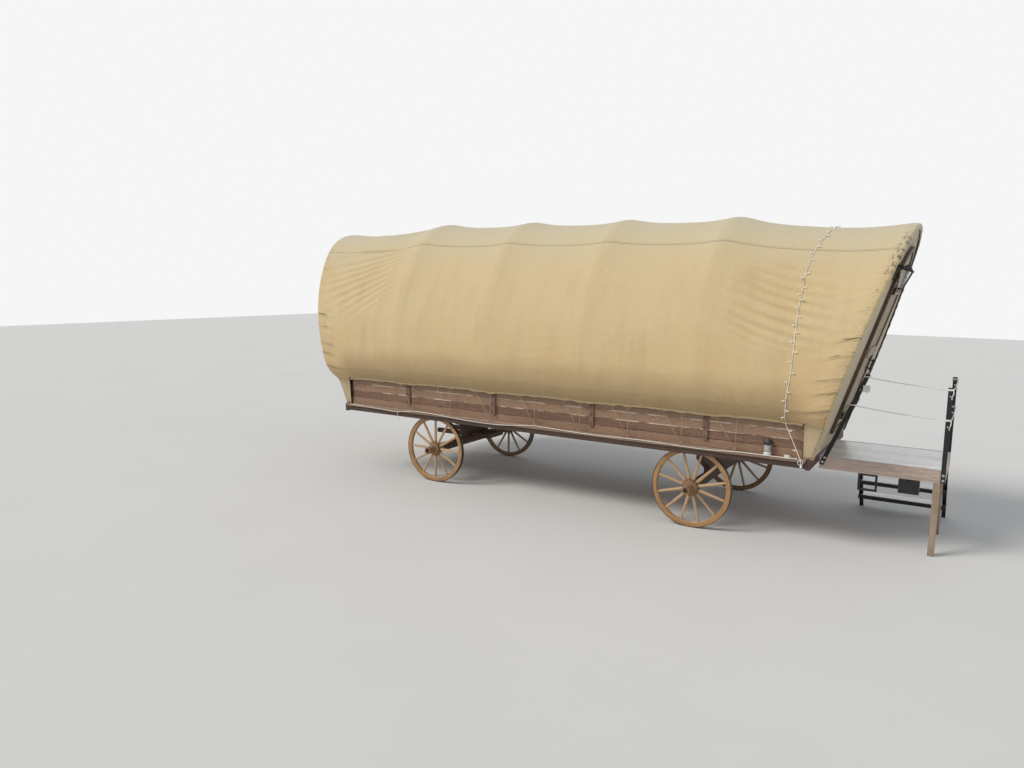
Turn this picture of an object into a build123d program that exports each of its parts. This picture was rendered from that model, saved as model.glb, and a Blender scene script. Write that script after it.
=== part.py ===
from build123d import *

import os
from math import asin, atan2, cos, degrees, radians, sin

# Covered wagon on four wooden wheels, with a canvas cover over six bent bows and a porch at its rear.
# Millimetres. X runs from the front to the porch, Y across, Z up, and the ground is Z = 0.
os.makedirs("parts", exist_ok=True)

# Driving dimensions: running gear
rear_wheel_d = 950.0
front_wheel_d = 938.0
wheelbase = 3710.0
track = 1976.0

# Driving dimensions: bed and box
bed_half_length = 3255.0
rear_axle_from_mid = 1985.0
floor_top = 985.0
floor_thickness = 25.0
frame_depth = 67.0
ledge_half_width = 1135.0
side_face_y = 1050.0
side_thickness = 25.0
side_half_length = 3211.0
board_width = 101.0
board_count = 5

# Driving dimensions: cover and bows, heights measured up the bow from the base level
bow_base_z = 950.0
bow_lean_deg = 17.2
end_bow_from_mid = 3280.0
bow_spacing = 1430.0
crown_rise = 2688.0
crown_radius = 950.0
crown_half_angle = 47.0
side_radius = 2350.0
turn_in_radius = 330.0
turn_in_rise = 730.0
hem_rise = 432.0
canvas_thickness = 6.0
bow_thickness = 22.0
bow_half_width = 22.0

# Driving dimensions: porch
porch_top = 938.0
porch_half_width = 555.0
porch_end_from_mid = 4503.0
post_width = 45.0
post_thickness = 8.0

# The middle of the bed lies so that the whole object is centred on X = 0
lean = radians(bow_lean_deg)
cover_lip = 30.0
front_reach = end_bow_from_mid + crown_rise * sin(lean) + cover_lip * cos(lean)
rear_reach = porch_end_from_mid + post_width
mid_x = (front_reach - rear_reach) / 2
rear_axle_x = mid_x + rear_axle_from_mid
front_axle_x = rear_axle_x - wheelbase

# Fits
running_gap = 0.05
arm_r = 25.0
king_pin_r = 16.0


def save(piece, label):
    """Labels a finished piece and writes its file."""
    piece.part.label = label
    export_step(piece.part, f"parts/{label}.step")


def box_between(x_span, y_span, z_span, mode=Mode.ADD):
    """A box from its spans along the three axes."""
    centre = ((x_span[0] + x_span[1]) / 2, (y_span[0] + y_span[1]) / 2, (z_span[0] + z_span[1]) / 2)
    with Locations(centre):
        Box(abs(x_span[1] - x_span[0]), abs(y_span[1] - y_span[0]), abs(z_span[1] - z_span[0]), mode=mode)


# Wheels
tyre_thickness = 8.0
tyre_width = 50.0
felloe_width = 46.0
felloe_depth = 54.0
felloe_chamfer = 9.0
spoke_count = 12
spoke_sides = 8
spoke_foot_r = 60.0
spoke_foot_half = 21.0
spoke_tip_half = 15.0
spoke_sink = 6.0
nave_inner_end = -110.0
nave_nose_end = 190.0
nut_seat = 130.0
# Outline of the nave: radius, distance outwards from the wheel's middle plane
nave_outline = (
    (arm_r + running_gap, nave_inner_end),
    (60, nave_inner_end),
    (66, -92),
    (80, -50),
    (80, 42),
    (60, 66),
    (50, 112),
    (46, nave_nose_end),
    (31, nave_nose_end),
    (31, nut_seat),
    (arm_r + running_gap, nut_seat),
)
# name, axle position, side, diameter, angle of the first spoke
wheel_table = (
    ("front_near", front_axle_x, -1, front_wheel_d, 0.0),
    ("front_far", front_axle_x, 1, front_wheel_d, 0.0),
    ("rear_near", rear_axle_x, -1, rear_wheel_d, 15.0),
    ("rear_far", rear_axle_x, 1, rear_wheel_d, 15.0),
)


def wheel_section(axle_x, side, diameter):
    """A plane through the wheel's axis: its x is the radius, its y points outwards along the axle."""
    return Plane(origin=(axle_x, side * track / 2, diameter / 2), x_dir=(1, 0, 0), z_dir=(0, 0, side))


def make_spokes(section, tip_r, first_angle):
    """Twelve tapered eight-sided spokes, standing round the wheel's axis."""
    with BuildPart() as spokes:
        for index in range(spoke_count):
            angle = radians(first_angle + 360 * index / spoke_count)
            outward = Vector(cos(angle), 0, sin(angle))
            foot = Plane(origin=section.origin + outward * spoke_foot_r, x_dir=(0, 1, 0), z_dir=outward)
            with BuildSketch(foot):
                RegularPolygon(radius=spoke_foot_half, side_count=spoke_sides)
            with BuildSketch(foot.offset(tip_r - spoke_foot_r)):
                RegularPolygon(radius=spoke_tip_half, side_count=spoke_sides)
            loft(ruled=True)
    return spokes.part


def make_wheel(axle_x, side, diameter, first_angle):
    """Nave, spokes and the felloe ring with its chamfered inner edges, in one wooden wheel."""
    section = wheel_section(axle_x, side, diameter)
    axle = Axis(section.origin, section.y_dir)
    rim_r = diameter / 2 - tyre_thickness
    spokes = make_spokes(section, rim_r - felloe_depth + spoke_sink, first_angle)
    with BuildPart() as wheel:
        with BuildSketch(section):
            with BuildLine():
                Polyline(*nave_outline, close=True)
            make_face()
        revolve(axis=axle)
        with BuildSketch(section):
            with Locations((rim_r - felloe_depth / 2, 0)):
                ring = Rectangle(felloe_depth, felloe_width)
            chamfer(ring.vertices().group_by(Axis.X)[0], felloe_chamfer)
        revolve(axis=axle)
        add(spokes)
    return wheel


def make_tyre(axle_x, side, diameter):
    """The flat steel tyre shrunk on to the felloe."""
    section = wheel_section(axle_x, side, diameter)
    with BuildPart() as tyre:
        with BuildSketch(section):
            with Locations((diameter / 2 - tyre_thickness / 2, 0)):
                Rectangle(tyre_thickness, tyre_width)
        revolve(axis=Axis(section.origin, section.y_dir))
    return tyre


for name, axle_x, side, diameter, first_angle in wheel_table:
    save(make_wheel(axle_x, side, diameter, first_angle), f"wheel_{name}")
    save(make_tyre(axle_x, side, diameter), f"tyre_{name}")

# Axles: a wooden beam between the naves, with a turned steel arm and its nut at each end
beam_half = 50.0
beam_chamfer = 10.0
collar_r = 44.0
collar_gap = 5.0
collar_thickness = 5.0
nut_r = 24.0
nut_clearance = 2.0
beam_end_y = track / 2 + nave_inner_end - collar_gap - collar_thickness
arm_end_y = track / 2 + nut_seat - nut_clearance
nut_length = 22.0
axle_table = (("front", front_axle_x, front_wheel_d), ("rear", rear_axle_x, rear_wheel_d))

for name, axle_x, diameter in axle_table:
    hub_z = diameter / 2
    with BuildPart() as beam:
        box_between((axle_x - beam_half, axle_x + beam_half), (-beam_end_y, beam_end_y),
                    (hub_z - beam_half, hub_z + beam_half))
        chamfer(beam.edges().filter_by(Axis.Y), beam_chamfer)
    save(beam, f"{name}_axle_beam")
    with BuildPart() as arms:
        for side in (-1, 1):
            start = Plane(origin=(axle_x, side * beam_end_y, hub_z), x_dir=(1, 0, 0), z_dir=(0, side, 0))
            with BuildSketch(start):
                Circle(collar_r)
            extrude(amount=collar_thickness)
            with BuildSketch(start):
                Circle(arm_r)
            extrude(amount=arm_end_y - beam_end_y)
            with BuildSketch(start.offset(arm_end_y - beam_end_y)):
                RegularPolygon(radius=nut_r, side_count=6)
            extrude(amount=nut_length)
    save(arms, f"{name}_axle_arms")

# Rear bolster: a deep tapered timber that carries the main beams on the rear axle
beam_depth = 80.0
frame_bottom = floor_top - floor_thickness - frame_depth
main_beam_bottom = frame_bottom - beam_depth
main_beam_y = 420.0
main_beam_half_width = 40.0
main_beam_half_length = 3195.0
rear_bolster_half = 45.0
rear_beam_top = rear_wheel_d / 2 + beam_half
front_beam_top = front_wheel_d / 2 + beam_half


def bolster_outline(top_half, bottom_half, bottom_z, top_z, block, lip):
    """A timber seen along X: wide under its load, tapered down to a block on what carries it."""
    half = ((bottom_half, bottom_z), (bottom_half, bottom_z + block),
            (top_half, top_z - lip), (top_half, top_z))
    with BuildSketch(Plane.XY) as outline:
        with BuildLine():
            Polyline(*half, *((-y, z) for y, z in reversed(half)), close=True)
        make_face()
    return outline.sketch


def across(x, z=0.0):
    """A plane across the wagon at x: its x is Y and its y is Z."""
    return Plane(origin=(x, 0, z), x_dir=(0, 1, 0), z_dir=(1, 0, 0))


with BuildPart() as rear_bolster:
    with BuildSketch(across(rear_axle_x)):
        add(bolster_outline(top_half=700, bottom_half=380, bottom_z=rear_beam_top, top_z=main_beam_bottom,
                            block=50, lip=60))
    extrude(amount=rear_bolster_half, both=True)
save(rear_bolster, "rear_bolster")

# Front gear: it turns about the king pin between two flat rings
ring_outer_r = 330.0
ring_inner_r = 262.0
ring_thickness = 10.0
ring_gap = 0.4
lower_ring_z = 700.0
upper_ring_z = lower_ring_z + ring_thickness + ring_gap
hound_y = 165.0
hound_half = 30.0
hound_back = 380.0
hound_front = 560.0
hound_top = front_beam_top + 2 * hound_half
gear_bolster_half = 50.0
drawbar_bore_r = 16.0
drawbar_bore_from_end = 45.0
ring_bar_width = 90.0
ring_bar_sink = 10.0

with BuildPart() as front_bolster:
    with BuildSketch(across(front_axle_x)):
        add(bolster_outline(top_half=345, bottom_half=300, bottom_z=front_beam_top, top_z=lower_ring_z,
                            block=70, lip=40))
    extrude(amount=gear_bolster_half, both=True)
    for side in (-1, 1):
        box_between((front_axle_x - gear_bolster_half, front_axle_x + gear_bolster_half),
                    (side * hound_y - hound_half, side * hound_y + hound_half),
                    (front_beam_top, hound_top), mode=Mode.SUBTRACT)
    with BuildSketch(Plane.XY.offset(front_beam_top)):
        with Locations((front_axle_x, 0)):
            Circle(king_pin_r + running_gap)
    extrude(amount=lower_ring_z - front_beam_top, mode=Mode.SUBTRACT)
save(front_bolster, "front_bolster")

with BuildPart() as hounds:
    for side in (-1, 1):
        box_between((front_axle_x - hound_front, front_axle_x + hound_back),
                    (side * hound_y - hound_half, side * hound_y + hound_half), (front_beam_top, hound_top))
    bore_origin = (front_axle_x - hound_front + drawbar_bore_from_end, 0, front_beam_top + hound_half)
    with BuildSketch(Plane(origin=bore_origin, x_dir=(1, 0, 0), z_dir=(0, -1, 0))):
        Circle(drawbar_bore_r)
    extrude(amount=hound_y + 2 * hound_half, both=True, mode=Mode.SUBTRACT)
    box_between((front_axle_x + hound_back - 2 * hound_half, front_axle_x + hound_back),
                (-hound_y, hound_y), (front_beam_top, hound_top))
save(hounds, "front_hounds")

for label, ring_z in (("turntable_lower", lower_ring_z), ("turntable_upper", upper_ring_z)):
    with BuildPart() as ring:
        with BuildSketch(Plane.XY.offset(ring_z)):
            with Locations((front_axle_x, 0)):
                Circle(ring_outer_r)
                Circle(ring_inner_r, mode=Mode.SUBTRACT)
                Rectangle(ring_bar_width, 2 * (ring_inner_r + ring_bar_sink))
                Circle(king_pin_r + running_gap, mode=Mode.SUBTRACT)
        extrude(amount=ring_thickness)
    save(ring, label)

upper_bolster_z = upper_ring_z + ring_thickness
with BuildPart() as upper_bolster:
    with BuildSketch(across(front_axle_x)):
        add(bolster_outline(top_half=600, bottom_half=360, bottom_z=upper_bolster_z, top_z=main_beam_bottom,
                            block=25, lip=30))
    extrude(amount=gear_bolster_half, both=True)
save(upper_bolster, "upper_bolster")

king_pin_foot = front_beam_top + 20
with BuildPart() as king_pin:
    with BuildSketch(Plane.XY.offset(king_pin_foot)):
        with Locations((front_axle_x, 0)):
            Circle(king_pin_r)
    extrude(amount=upper_bolster_z - king_pin_foot)
save(king_pin, "king_pin")

# Bed: rim beams and joists in one frame, two main beams under it, floor planks, and ledges outside the box
rim_outer_y = 1112.0
rim_inner_y = 1062.0
frame_top = floor_top - floor_thickness
joist_half = 30.0
# Distance of each joist from the middle of the bed; none crosses the wheels' tops
joist_from_mid = (-3225, -2570, -860, -250, 400, 1050, 1640, 2420, 3225)

with BuildPart() as bed_frame:
    for side in (-1, 1):
        box_between((mid_x - bed_half_length, mid_x + bed_half_length),
                    (side * rim_inner_y, side * rim_outer_y), (frame_bottom, frame_top))
    for distance in joist_from_mid:
        box_between((mid_x + distance - joist_half, mid_x + distance + joist_half),
                    (-rim_inner_y, rim_inner_y), (frame_bottom, frame_top))
save(bed_frame, "bed_frame")

with BuildPart() as main_beams:
    for side in (-1, 1):
        box_between((mid_x - main_beam_half_length, mid_x + main_beam_half_length),
                    (side * main_beam_y - main_beam_half_width, side * main_beam_y + main_beam_half_width),
                    (main_beam_bottom, frame_bottom))
save(main_beams, "main_beams")

floor_half_width = 1024.0
plank_count = 14
plank_pitch = 2 * floor_half_width / plank_count
groove = 4.0
with BuildPart() as bed_floor:
    box_between((mid_x - bed_half_length, mid_x + bed_half_length), (-floor_half_width, floor_half_width),
                (frame_top, floor_top))
    for index in range(1, plank_count):
        seam_y = -floor_half_width + index * plank_pitch
        box_between((mid_x - bed_half_length, mid_x + bed_half_length),
                    (seam_y - groove / 2, seam_y + groove / 2), (floor_top - groove, floor_top),
                    mode=Mode.SUBTRACT)
save(bed_floor, "bed_floor")

with BuildPart() as ledges:
    for side in (-1, 1):
        box_between((mid_x - bed_half_length, mid_x + bed_half_length),
                    (side * floor_half_width, side * ledge_half_width), (frame_top, floor_top))
save(ledges, "ledges")

end_beam_thickness = 45.0
end_beam_bottom = frame_bottom - 15
with BuildPart() as end_beams:
    for side in (-1, 1):
        inner = mid_x + side * bed_half_length
        box_between((inner, inner + side * end_beam_thickness), (-rim_outer_y, rim_outer_y),
                    (end_beam_bottom, floor_top))
save(end_beams, "end_beams")

# Box sides: five boards with V joints between them, and a batten that carries each upright bow's foot
side_top = floor_top + board_count * board_width
joint_depth = 5.0
joint_half_width = 4.0
upright_bows = tuple(mid_x + step * bow_spacing for step in (-1.5, -0.5, 0.5, 1.5))
batten_half = 28.0
batten_bottom = 1068.0
batten_top = side_top - 12
batten_face_y = side_face_y + 22
socket_y = 1097.0
socket_z = 1380.0
# Outline of a batten and its socket: distance from the middle, height
batten_outline = (
    (side_face_y, batten_bottom),
    (batten_face_y, batten_bottom),
    (batten_face_y, socket_z - 20),
    (socket_y, socket_z),
    (socket_y, batten_top),
    (side_face_y, batten_top),
)

for label, side in (("near", -1), ("far", 1)):
    with BuildPart() as side_wall:
        box_between((mid_x - side_half_length, mid_x + side_half_length),
                    (side * (side_face_y - side_thickness), side * side_face_y), (floor_top, side_top))
        with BuildSketch(across(mid_x - side_half_length)):
            for index in range(1, board_count):
                joint_z = floor_top + index * board_width
                with BuildLine():
                    Polyline((side * (side_face_y + 1), joint_z - joint_half_width),
                             (side * (side_face_y + 1), joint_z + joint_half_width),
                             (side * (side_face_y - joint_depth), joint_z), close=True)
                make_face()
        extrude(amount=2 * side_half_length, mode=Mode.SUBTRACT)
    save(side_wall, f"box_side_{label}")
    with BuildPart() as battens:
        for bow_x in upright_bows:
            with BuildSketch(across(bow_x)):
                with BuildLine():
                    Polyline(*((side * y, z) for y, z in batten_outline), close=True)
                make_face()
            extrude(amount=batten_half, both=True)
    save(battens, f"battens_{label}")


# Cover: the bows' outline is a crown arc, a flatter side arc and a short arc that turns in to the hem
side_start = 90 - crown_half_angle
side_centre_y = (crown_radius - side_radius) * sin(radians(crown_half_angle))
side_centre_rise = crown_rise - crown_radius + (crown_radius - side_radius) * cos(radians(crown_half_angle))
turn_in_start = degrees(asin((turn_in_rise - side_centre_rise) / side_radius))
turn_centre_y = side_centre_y + (side_radius - turn_in_radius) * cos(radians(turn_in_start))
turn_centre_rise = side_centre_rise + (side_radius - turn_in_radius) * sin(radians(turn_in_start))
turn_in_end = degrees(asin((hem_rise - turn_centre_rise) / turn_in_radius))
flank_y = 1078.0
flank_rise = 38.0
# The flank runs straight from the hem's corner to the bed's end, and leans in by this angle
flank_lean = degrees(atan2(turn_centre_y + turn_in_radius * cos(radians(turn_in_end)) - flank_y,
                           hem_rise - flank_rise))
corner_turn = -turn_in_end - flank_lean
cut_rise = -200.0


def half_outline(inset):
    """The cover's right half from its crown down to the hem's corner, moved inwards by inset."""
    crown = JernArc((0, crown_rise - inset), (1, 0), crown_radius - inset, -crown_half_angle)
    flat = JernArc(crown @ 1, crown % 1, side_radius - inset, -(side_start - turn_in_start))
    turn = JernArc(flat @ 1, flat % 1, turn_in_radius - inset, -(turn_in_start - turn_in_end))
    return turn


def flank_line(turn, inset, foot_rise):
    """The straight flank below the hem's corner, at the same inset, down to foot_rise."""
    if inset:
        turn = JernArc(turn @ 1, turn % 1, inset, corner_turn)
    heading = Vector(-sin(radians(flank_lean)), -cos(radians(flank_lean)))
    return Line(turn @ 1, turn @ 1 + heading * (((turn @ 1).Y - foot_rise) / cos(radians(flank_lean))))


def cover_face(inset):
    """The closed outline of the cover at one bow, with its flanks run on past the bed."""
    with BuildSketch(Plane.XY) as outline:
        with BuildLine():
            flank = flank_line(half_outline(inset), inset, cut_rise)
            Line(flank @ 1, (0, cut_rise))
            mirror(about=Plane.YZ)
        make_face()
    return outline.sketch


def bow_plane(distance_from_mid, leaning=0.0):
    """The plane of a bow: its x is Y and its y runs up the bow from the base level."""
    return Plane(origin=(mid_x + distance_from_mid, 0, bow_base_z), x_dir=(0, 1, 0),
                 z_dir=(cos(leaning), 0, -sin(leaning)))


last_bow = 1.5 * bow_spacing
end_planes = {"rear": bow_plane(end_bow_from_mid, lean), "front": bow_plane(-end_bow_from_mid, -lean)}
hem_z = bow_base_z + hem_rise


def cover_half(inset, lip):
    """The space under the cover, from the middle of the wagon to the leaning rear bow and its lip."""
    outline = cover_face(inset)
    with BuildPart() as half:
        with BuildSketch(bow_plane(0)):
            add(outline)
        extrude(amount=last_bow)
        with BuildSketch(bow_plane(last_bow)):
            add(outline)
        with BuildSketch(end_planes["rear"]):
            add(outline)
        loft(ruled=True)
        with BuildSketch(end_planes["rear"]):
            add(outline)
        extrude(amount=lip)
    return half.part


outer_half = cover_half(0, cover_lip)
inner_half = cover_half(canvas_thickness, cover_lip + 1)
bay_end = side_half_length + 8
seat_gap = 1.0
far_x = 6000.0
far_y = 2000.0
with BuildPart() as canvas:
    add(outer_half)
    add(inner_half, mode=Mode.SUBTRACT)
    mirror(about=Plane.YZ.offset(mid_x))
    box_between((mid_x - bay_end, mid_x + bay_end), (-far_y, far_y), (0, hem_z), mode=Mode.SUBTRACT)
    box_between((-far_x, far_x), (-far_y, far_y), (0, floor_top + seat_gap), mode=Mode.SUBTRACT)
save(canvas, "canvas_cover")

# Bows: six bent timbers, four upright ones in the battens' sockets and a leaning pair on the bed's ends
bow_gap = 2.0
bow_inset = canvas_thickness + bow_gap
# The leaning pair stands further in, because its edges meet the cover's slope at an angle
end_bow_inset = bow_inset + 6.0


def bow_ring(inset):
    """The bent timber seen along its bow's plane, with its feet run on below the bed."""
    with BuildSketch(Plane.XY) as ring:
        add(cover_face(inset))
        add(cover_face(inset + bow_thickness), mode=Mode.SUBTRACT)
    return ring.sketch


with BuildPart() as bows:
    upright_ring = bow_ring(bow_inset)
    for bow_x in upright_bows:
        with BuildSketch(bow_plane(bow_x - mid_x)):
            add(upright_ring)
        extrude(amount=bow_half_width, both=True)
    bay_x = (mid_x - bay_end, mid_x + bay_end)
    box_between(bay_x, (-far_y, far_y), (0, socket_z), mode=Mode.SUBTRACT)
    box_between(bay_x, (-socket_y, socket_y), (0, batten_top), mode=Mode.SUBTRACT)
    leaning_ring = bow_ring(end_bow_inset)
    for plane in end_planes.values():
        with BuildSketch(plane):
            add(leaning_ring)
        extrude(amount=bow_half_width, both=True)
    box_between((-far_x, far_x), (-far_y, far_y), (0, floor_top), mode=Mode.SUBTRACT)
save(bows, "bows")

# End walls: canvas-covered panels inside the end bows, the rear one with an arched doorway
panel_inset = end_bow_inset + bow_thickness + bow_gap
panel_half_thickness = 12.0
casing_half_width = 430.0
casing_band = 68.0
casing_foot_rise = 250.0
casing_spring_rise = 2010.0
casing_front = 50.0
door_gap = 8.0
door_back = 2.0
door_front = 38.0


def arch_outline(half_width, foot_rise):
    """An upright opening with a half-round head about the casing's spring line."""
    with BuildSketch(Plane.XY) as outline:
        with BuildLine():
            Polyline((-half_width, casing_spring_rise), (-half_width, foot_rise), (half_width, foot_rise),
                     (half_width, casing_spring_rise))
            RadiusArc((-half_width, casing_spring_rise), (half_width, casing_spring_rise), half_width)
        make_face()
    return outline.sketch


casing_inner = casing_half_width - casing_band
door_half_width = casing_inner - door_gap
door_foot_rise = casing_foot_rise + casing_band + door_gap
panel_outline = cover_face(panel_inset)
panel_hole = arch_outline(casing_inner, casing_foot_rise + casing_band)

for name, plane in end_planes.items():
    with BuildPart() as panel:
        with BuildSketch(plane.offset(-panel_half_thickness)):
            add(panel_outline)
            if name == "rear":
                add(panel_hole, mode=Mode.SUBTRACT)
        extrude(amount=2 * panel_half_thickness)
        box_between((-far_x, far_x), (-far_y, far_y), (0, floor_top), mode=Mode.SUBTRACT)
    save(panel, f"end_wall_{name}")

rear_plane = end_planes["rear"]
with BuildPart() as casing:
    with BuildSketch(rear_plane.offset(panel_half_thickness)):
        add(arch_outline(casing_half_width, casing_foot_rise))
        add(panel_hole, mode=Mode.SUBTRACT)
    extrude(amount=casing_front - panel_half_thickness)
save(casing, "door_casing")

door_board_count = 6
door_groove = 5.0
rail_front = door_front + 20
# The door's three cross rails: height of the lower edge up the door
door_rail_rises = (430.0, 1160.0, 1890.0)
door_rail_depth = 110.0
door_rail_margin = 45.0
# The grooves between the door's boards run past both of its ends
groove_foot_rise = 100.0
groove_head_rise = 2700.0
with BuildPart() as door:
    with BuildSketch(rear_plane.offset(door_back)):
        add(arch_outline(door_half_width, door_foot_rise))
    extrude(amount=door_front - door_back)
    for index in range(1, door_board_count):
        seam_y = -door_half_width + index * 2 * door_half_width / door_board_count
        with BuildSketch(rear_plane.offset(door_front - door_groove)):
            with Locations((seam_y, (groove_foot_rise + groove_head_rise) / 2)):
                Rectangle(door_groove, groove_head_rise - groove_foot_rise)
        extrude(amount=door_groove, mode=Mode.SUBTRACT)
    for rise in door_rail_rises:
        with BuildSketch(rear_plane.offset(door_front - door_groove)):
            with Locations((0, rise + door_rail_depth / 2)):
                Rectangle(2 * (door_half_width - door_rail_margin), door_rail_depth)
        extrude(amount=rail_front - door_front + door_groove)
save(door, "door")

# Door hinges: pins on the casing's near side, and cranked straps that turn on them
hinge_y = -casing_inner - 6
hinge_out = casing_front + 16
hinge_pin_r = 5.0
eye_r = 10.0
eye_length = 40.0
strap_rises = (door_rail_rises[0] + 35, door_rail_rises[2] + 35)
pin_gap = 6.0
pin_foot = 20.0
leaf_width = 36.0
leaf_thickness = 8.0
strap_thickness = 6.0
strap_crank = 38.0
strap_end = 240.0
strap_face = rail_front + strap_thickness
crank_face = hinge_out + eye_r


def hinge_plane(rise):
    """A plane square to the hinge axis: its x is Y and its y points out of the wall."""
    origin = rear_plane.origin + rear_plane.y_dir * rise
    return Plane(origin=origin, x_dir=(0, 1, 0), z_dir=-rear_plane.y_dir)


with BuildPart() as hinge_pins:
    for rise in strap_rises:
        with BuildSketch(hinge_plane(rise - pin_gap)):
            with Locations((hinge_y, hinge_out)):
                Circle(eye_r)
            with Locations((hinge_y - leaf_width / 2 - 4, casing_front + leaf_thickness / 2)):
                Rectangle(leaf_width, leaf_thickness)
            with Locations((hinge_y - 9, hinge_out - 4)):
                Rectangle(10, 12)
        extrude(amount=pin_foot)
        with BuildSketch(hinge_plane(rise + eye_length + pin_gap)):
            with Locations((hinge_y, hinge_out)):
                Circle(hinge_pin_r)
        extrude(amount=eye_length + 2 * pin_gap + 2)
save(hinge_pins, "hinge_pins")

with BuildPart() as hinge_straps:
    for rise in strap_rises:
        with BuildSketch(hinge_plane(rise + eye_length)):
            with Locations((hinge_y, hinge_out)):
                Circle(eye_r)
            with BuildLine():
                Polyline((hinge_y, crank_face), (hinge_y + strap_crank, crank_face),
                         (hinge_y + strap_crank, strap_face), (strap_end, strap_face),
                         (strap_end, rail_front), (hinge_y + strap_crank - strap_thickness, rail_front),
                         (hinge_y + strap_crank - strap_thickness, crank_face - strap_thickness),
                         (hinge_y, crank_face - strap_thickness), close=True)
            make_face()
            with Locations((hinge_y, hinge_out)):
                Circle(hinge_pin_r + running_gap, mode=Mode.SUBTRACT)
        extrude(amount=eye_length)
save(hinge_straps, "hinge_straps")

handle_y = door_half_width - 75
handle_rise = 1040.0
handle_plate = (36.0, 190.0)
handle_plate_thickness = 5.0
handle_grip = 140.0
handle_stand_off = 45.0
with BuildPart() as door_handle:
    with BuildSketch(rear_plane.offset(door_front)):
        with Locations((handle_y, handle_rise)):
            RectangleRounded(*handle_plate, 10)
    extrude(amount=handle_plate_thickness)
    for rise in (handle_rise - 50, handle_rise + 50):
        with BuildSketch(rear_plane.offset(door_front + handle_plate_thickness)):
            with Locations((handle_y, rise)):
                Circle(7)
        extrude(amount=handle_stand_off - handle_plate_thickness - 2)
    with BuildSketch(hinge_plane(handle_rise + handle_grip / 2)):
        with Locations((handle_y, door_front + handle_stand_off)):
            Circle(9)
    extrude(amount=handle_grip)
save(door_handle, "door_handle")

# Coach lantern on the rear wall beside the door: a tapered four-sided cage on a back plate, with its glass
lantern_y = -520.0
lantern_rise = 1990.0
lantern_out = 110.0
lantern_height = 190.0
lantern_foot_half = 32.0
lantern_head_half = 58.0
lantern_glass_gap = 4.0
lantern_bar = 9.0
lantern_eaves = 11.0
lantern_eaves_thickness = 12.0
lantern_roof_height = 50.0
lantern_plate = (90.0, 190.0)
lantern_plate_thickness = 8.0
lantern_arm = 20.0
rear_wall_face = panel_half_thickness
lantern_head_rise = lantern_rise + lantern_height
lantern_roof_rise = lantern_head_rise + lantern_eaves_thickness


def lantern_plane(rise):
    """A plane square to the wall's slope, centred on the lantern."""
    origin = rear_plane.origin + rear_plane.y_dir * rise + rear_plane.z_dir * lantern_out
    return Plane(origin=origin + Vector(0, lantern_y, 0), x_dir=(0, 1, 0), z_dir=rear_plane.y_dir)


with BuildPart() as lantern_glass:
    with BuildSketch(lantern_plane(lantern_rise)):
        glass_foot = 2 * (lantern_foot_half - lantern_glass_gap)
        Rectangle(glass_foot, glass_foot)
    with BuildSketch(lantern_plane(lantern_head_rise)):
        glass_head = 2 * (lantern_head_half - lantern_glass_gap)
        Rectangle(glass_head, glass_head)
    loft(ruled=True)
save(lantern_glass, "lantern_glass")

with BuildPart() as lantern:
    with BuildSketch(rear_plane.offset(rear_wall_face)):
        with Locations((lantern_y, lantern_rise + 150)):
            RectangleRounded(*lantern_plate, 12)
    extrude(amount=lantern_plate_thickness)
    with BuildSketch(hinge_plane(lantern_head_rise + 34)):
        with Locations((lantern_y, (lantern_out + rear_wall_face) / 2)):
            Rectangle(lantern_arm, lantern_out - rear_wall_face)
    extrude(amount=lantern_arm + 2)
    with BuildSketch(lantern_plane(lantern_rise - 14)):
        Rectangle(2 * lantern_foot_half - 14, 2 * lantern_foot_half - 14)
    with BuildSketch(lantern_plane(lantern_rise)):
        Rectangle(2 * lantern_foot_half + 6, 2 * lantern_foot_half + 6)
    loft(ruled=True)
    with BuildSketch(lantern_plane(lantern_head_rise)):
        eaves_width = 2 * (lantern_head_half + lantern_eaves)
        Rectangle(eaves_width, eaves_width)
    extrude(amount=lantern_eaves_thickness)
    with BuildSketch(lantern_plane(lantern_roof_rise)):
        Rectangle(2 * lantern_head_half - 4, 2 * lantern_head_half - 4)
    with BuildSketch(lantern_plane(lantern_roof_rise + lantern_roof_height)):
        Rectangle(30, 30)
    loft(ruled=True)
    for across_sign, out_sign in ((-1, -1), (-1, 1), (1, -1), (1, 1)):
        foot_centre = (across_sign * (lantern_foot_half - 2), out_sign * (lantern_foot_half - 2))
        head_centre = (across_sign * (lantern_head_half - 2), out_sign * (lantern_head_half - 2))
        with BuildSketch(lantern_plane(lantern_rise)):
            with Locations(foot_centre):
                Rectangle(lantern_bar, lantern_bar)
        with BuildSketch(lantern_plane(lantern_head_rise)):
            with Locations(head_centre):
                Rectangle(lantern_bar, lantern_bar)
        loft(ruled=True)
    add(lantern_glass.part, mode=Mode.SUBTRACT)
save(lantern, "lantern_cage")

# Porch: a boarded deck on a timber frame, carried by the bed's end and by two legs
porch_start = mid_x + bed_half_length + end_beam_thickness
porch_end = mid_x + porch_end_from_mid
porch_board = 30.0
porch_frame_bottom = 800.0
porch_rail = 45.0
porch_board_count = 8
porch_groove = 6.0
porch_groove_depth = 8.0
leg_width = 64.0
far_leg_y = 320.0
deck_half_width = porch_half_width - porch_rail
with BuildPart() as porch_deck:
    box_between((porch_start, porch_end), (-deck_half_width, deck_half_width),
                (porch_top - porch_board, porch_top))
    for index in range(1, porch_board_count):
        seam_y = -deck_half_width + index * 2 * deck_half_width / porch_board_count
        box_between((porch_start, porch_end), (seam_y - porch_groove / 2, seam_y + porch_groove / 2),
                    (porch_top - porch_groove_depth, porch_top), mode=Mode.SUBTRACT)
save(porch_deck, "porch_deck")

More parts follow.
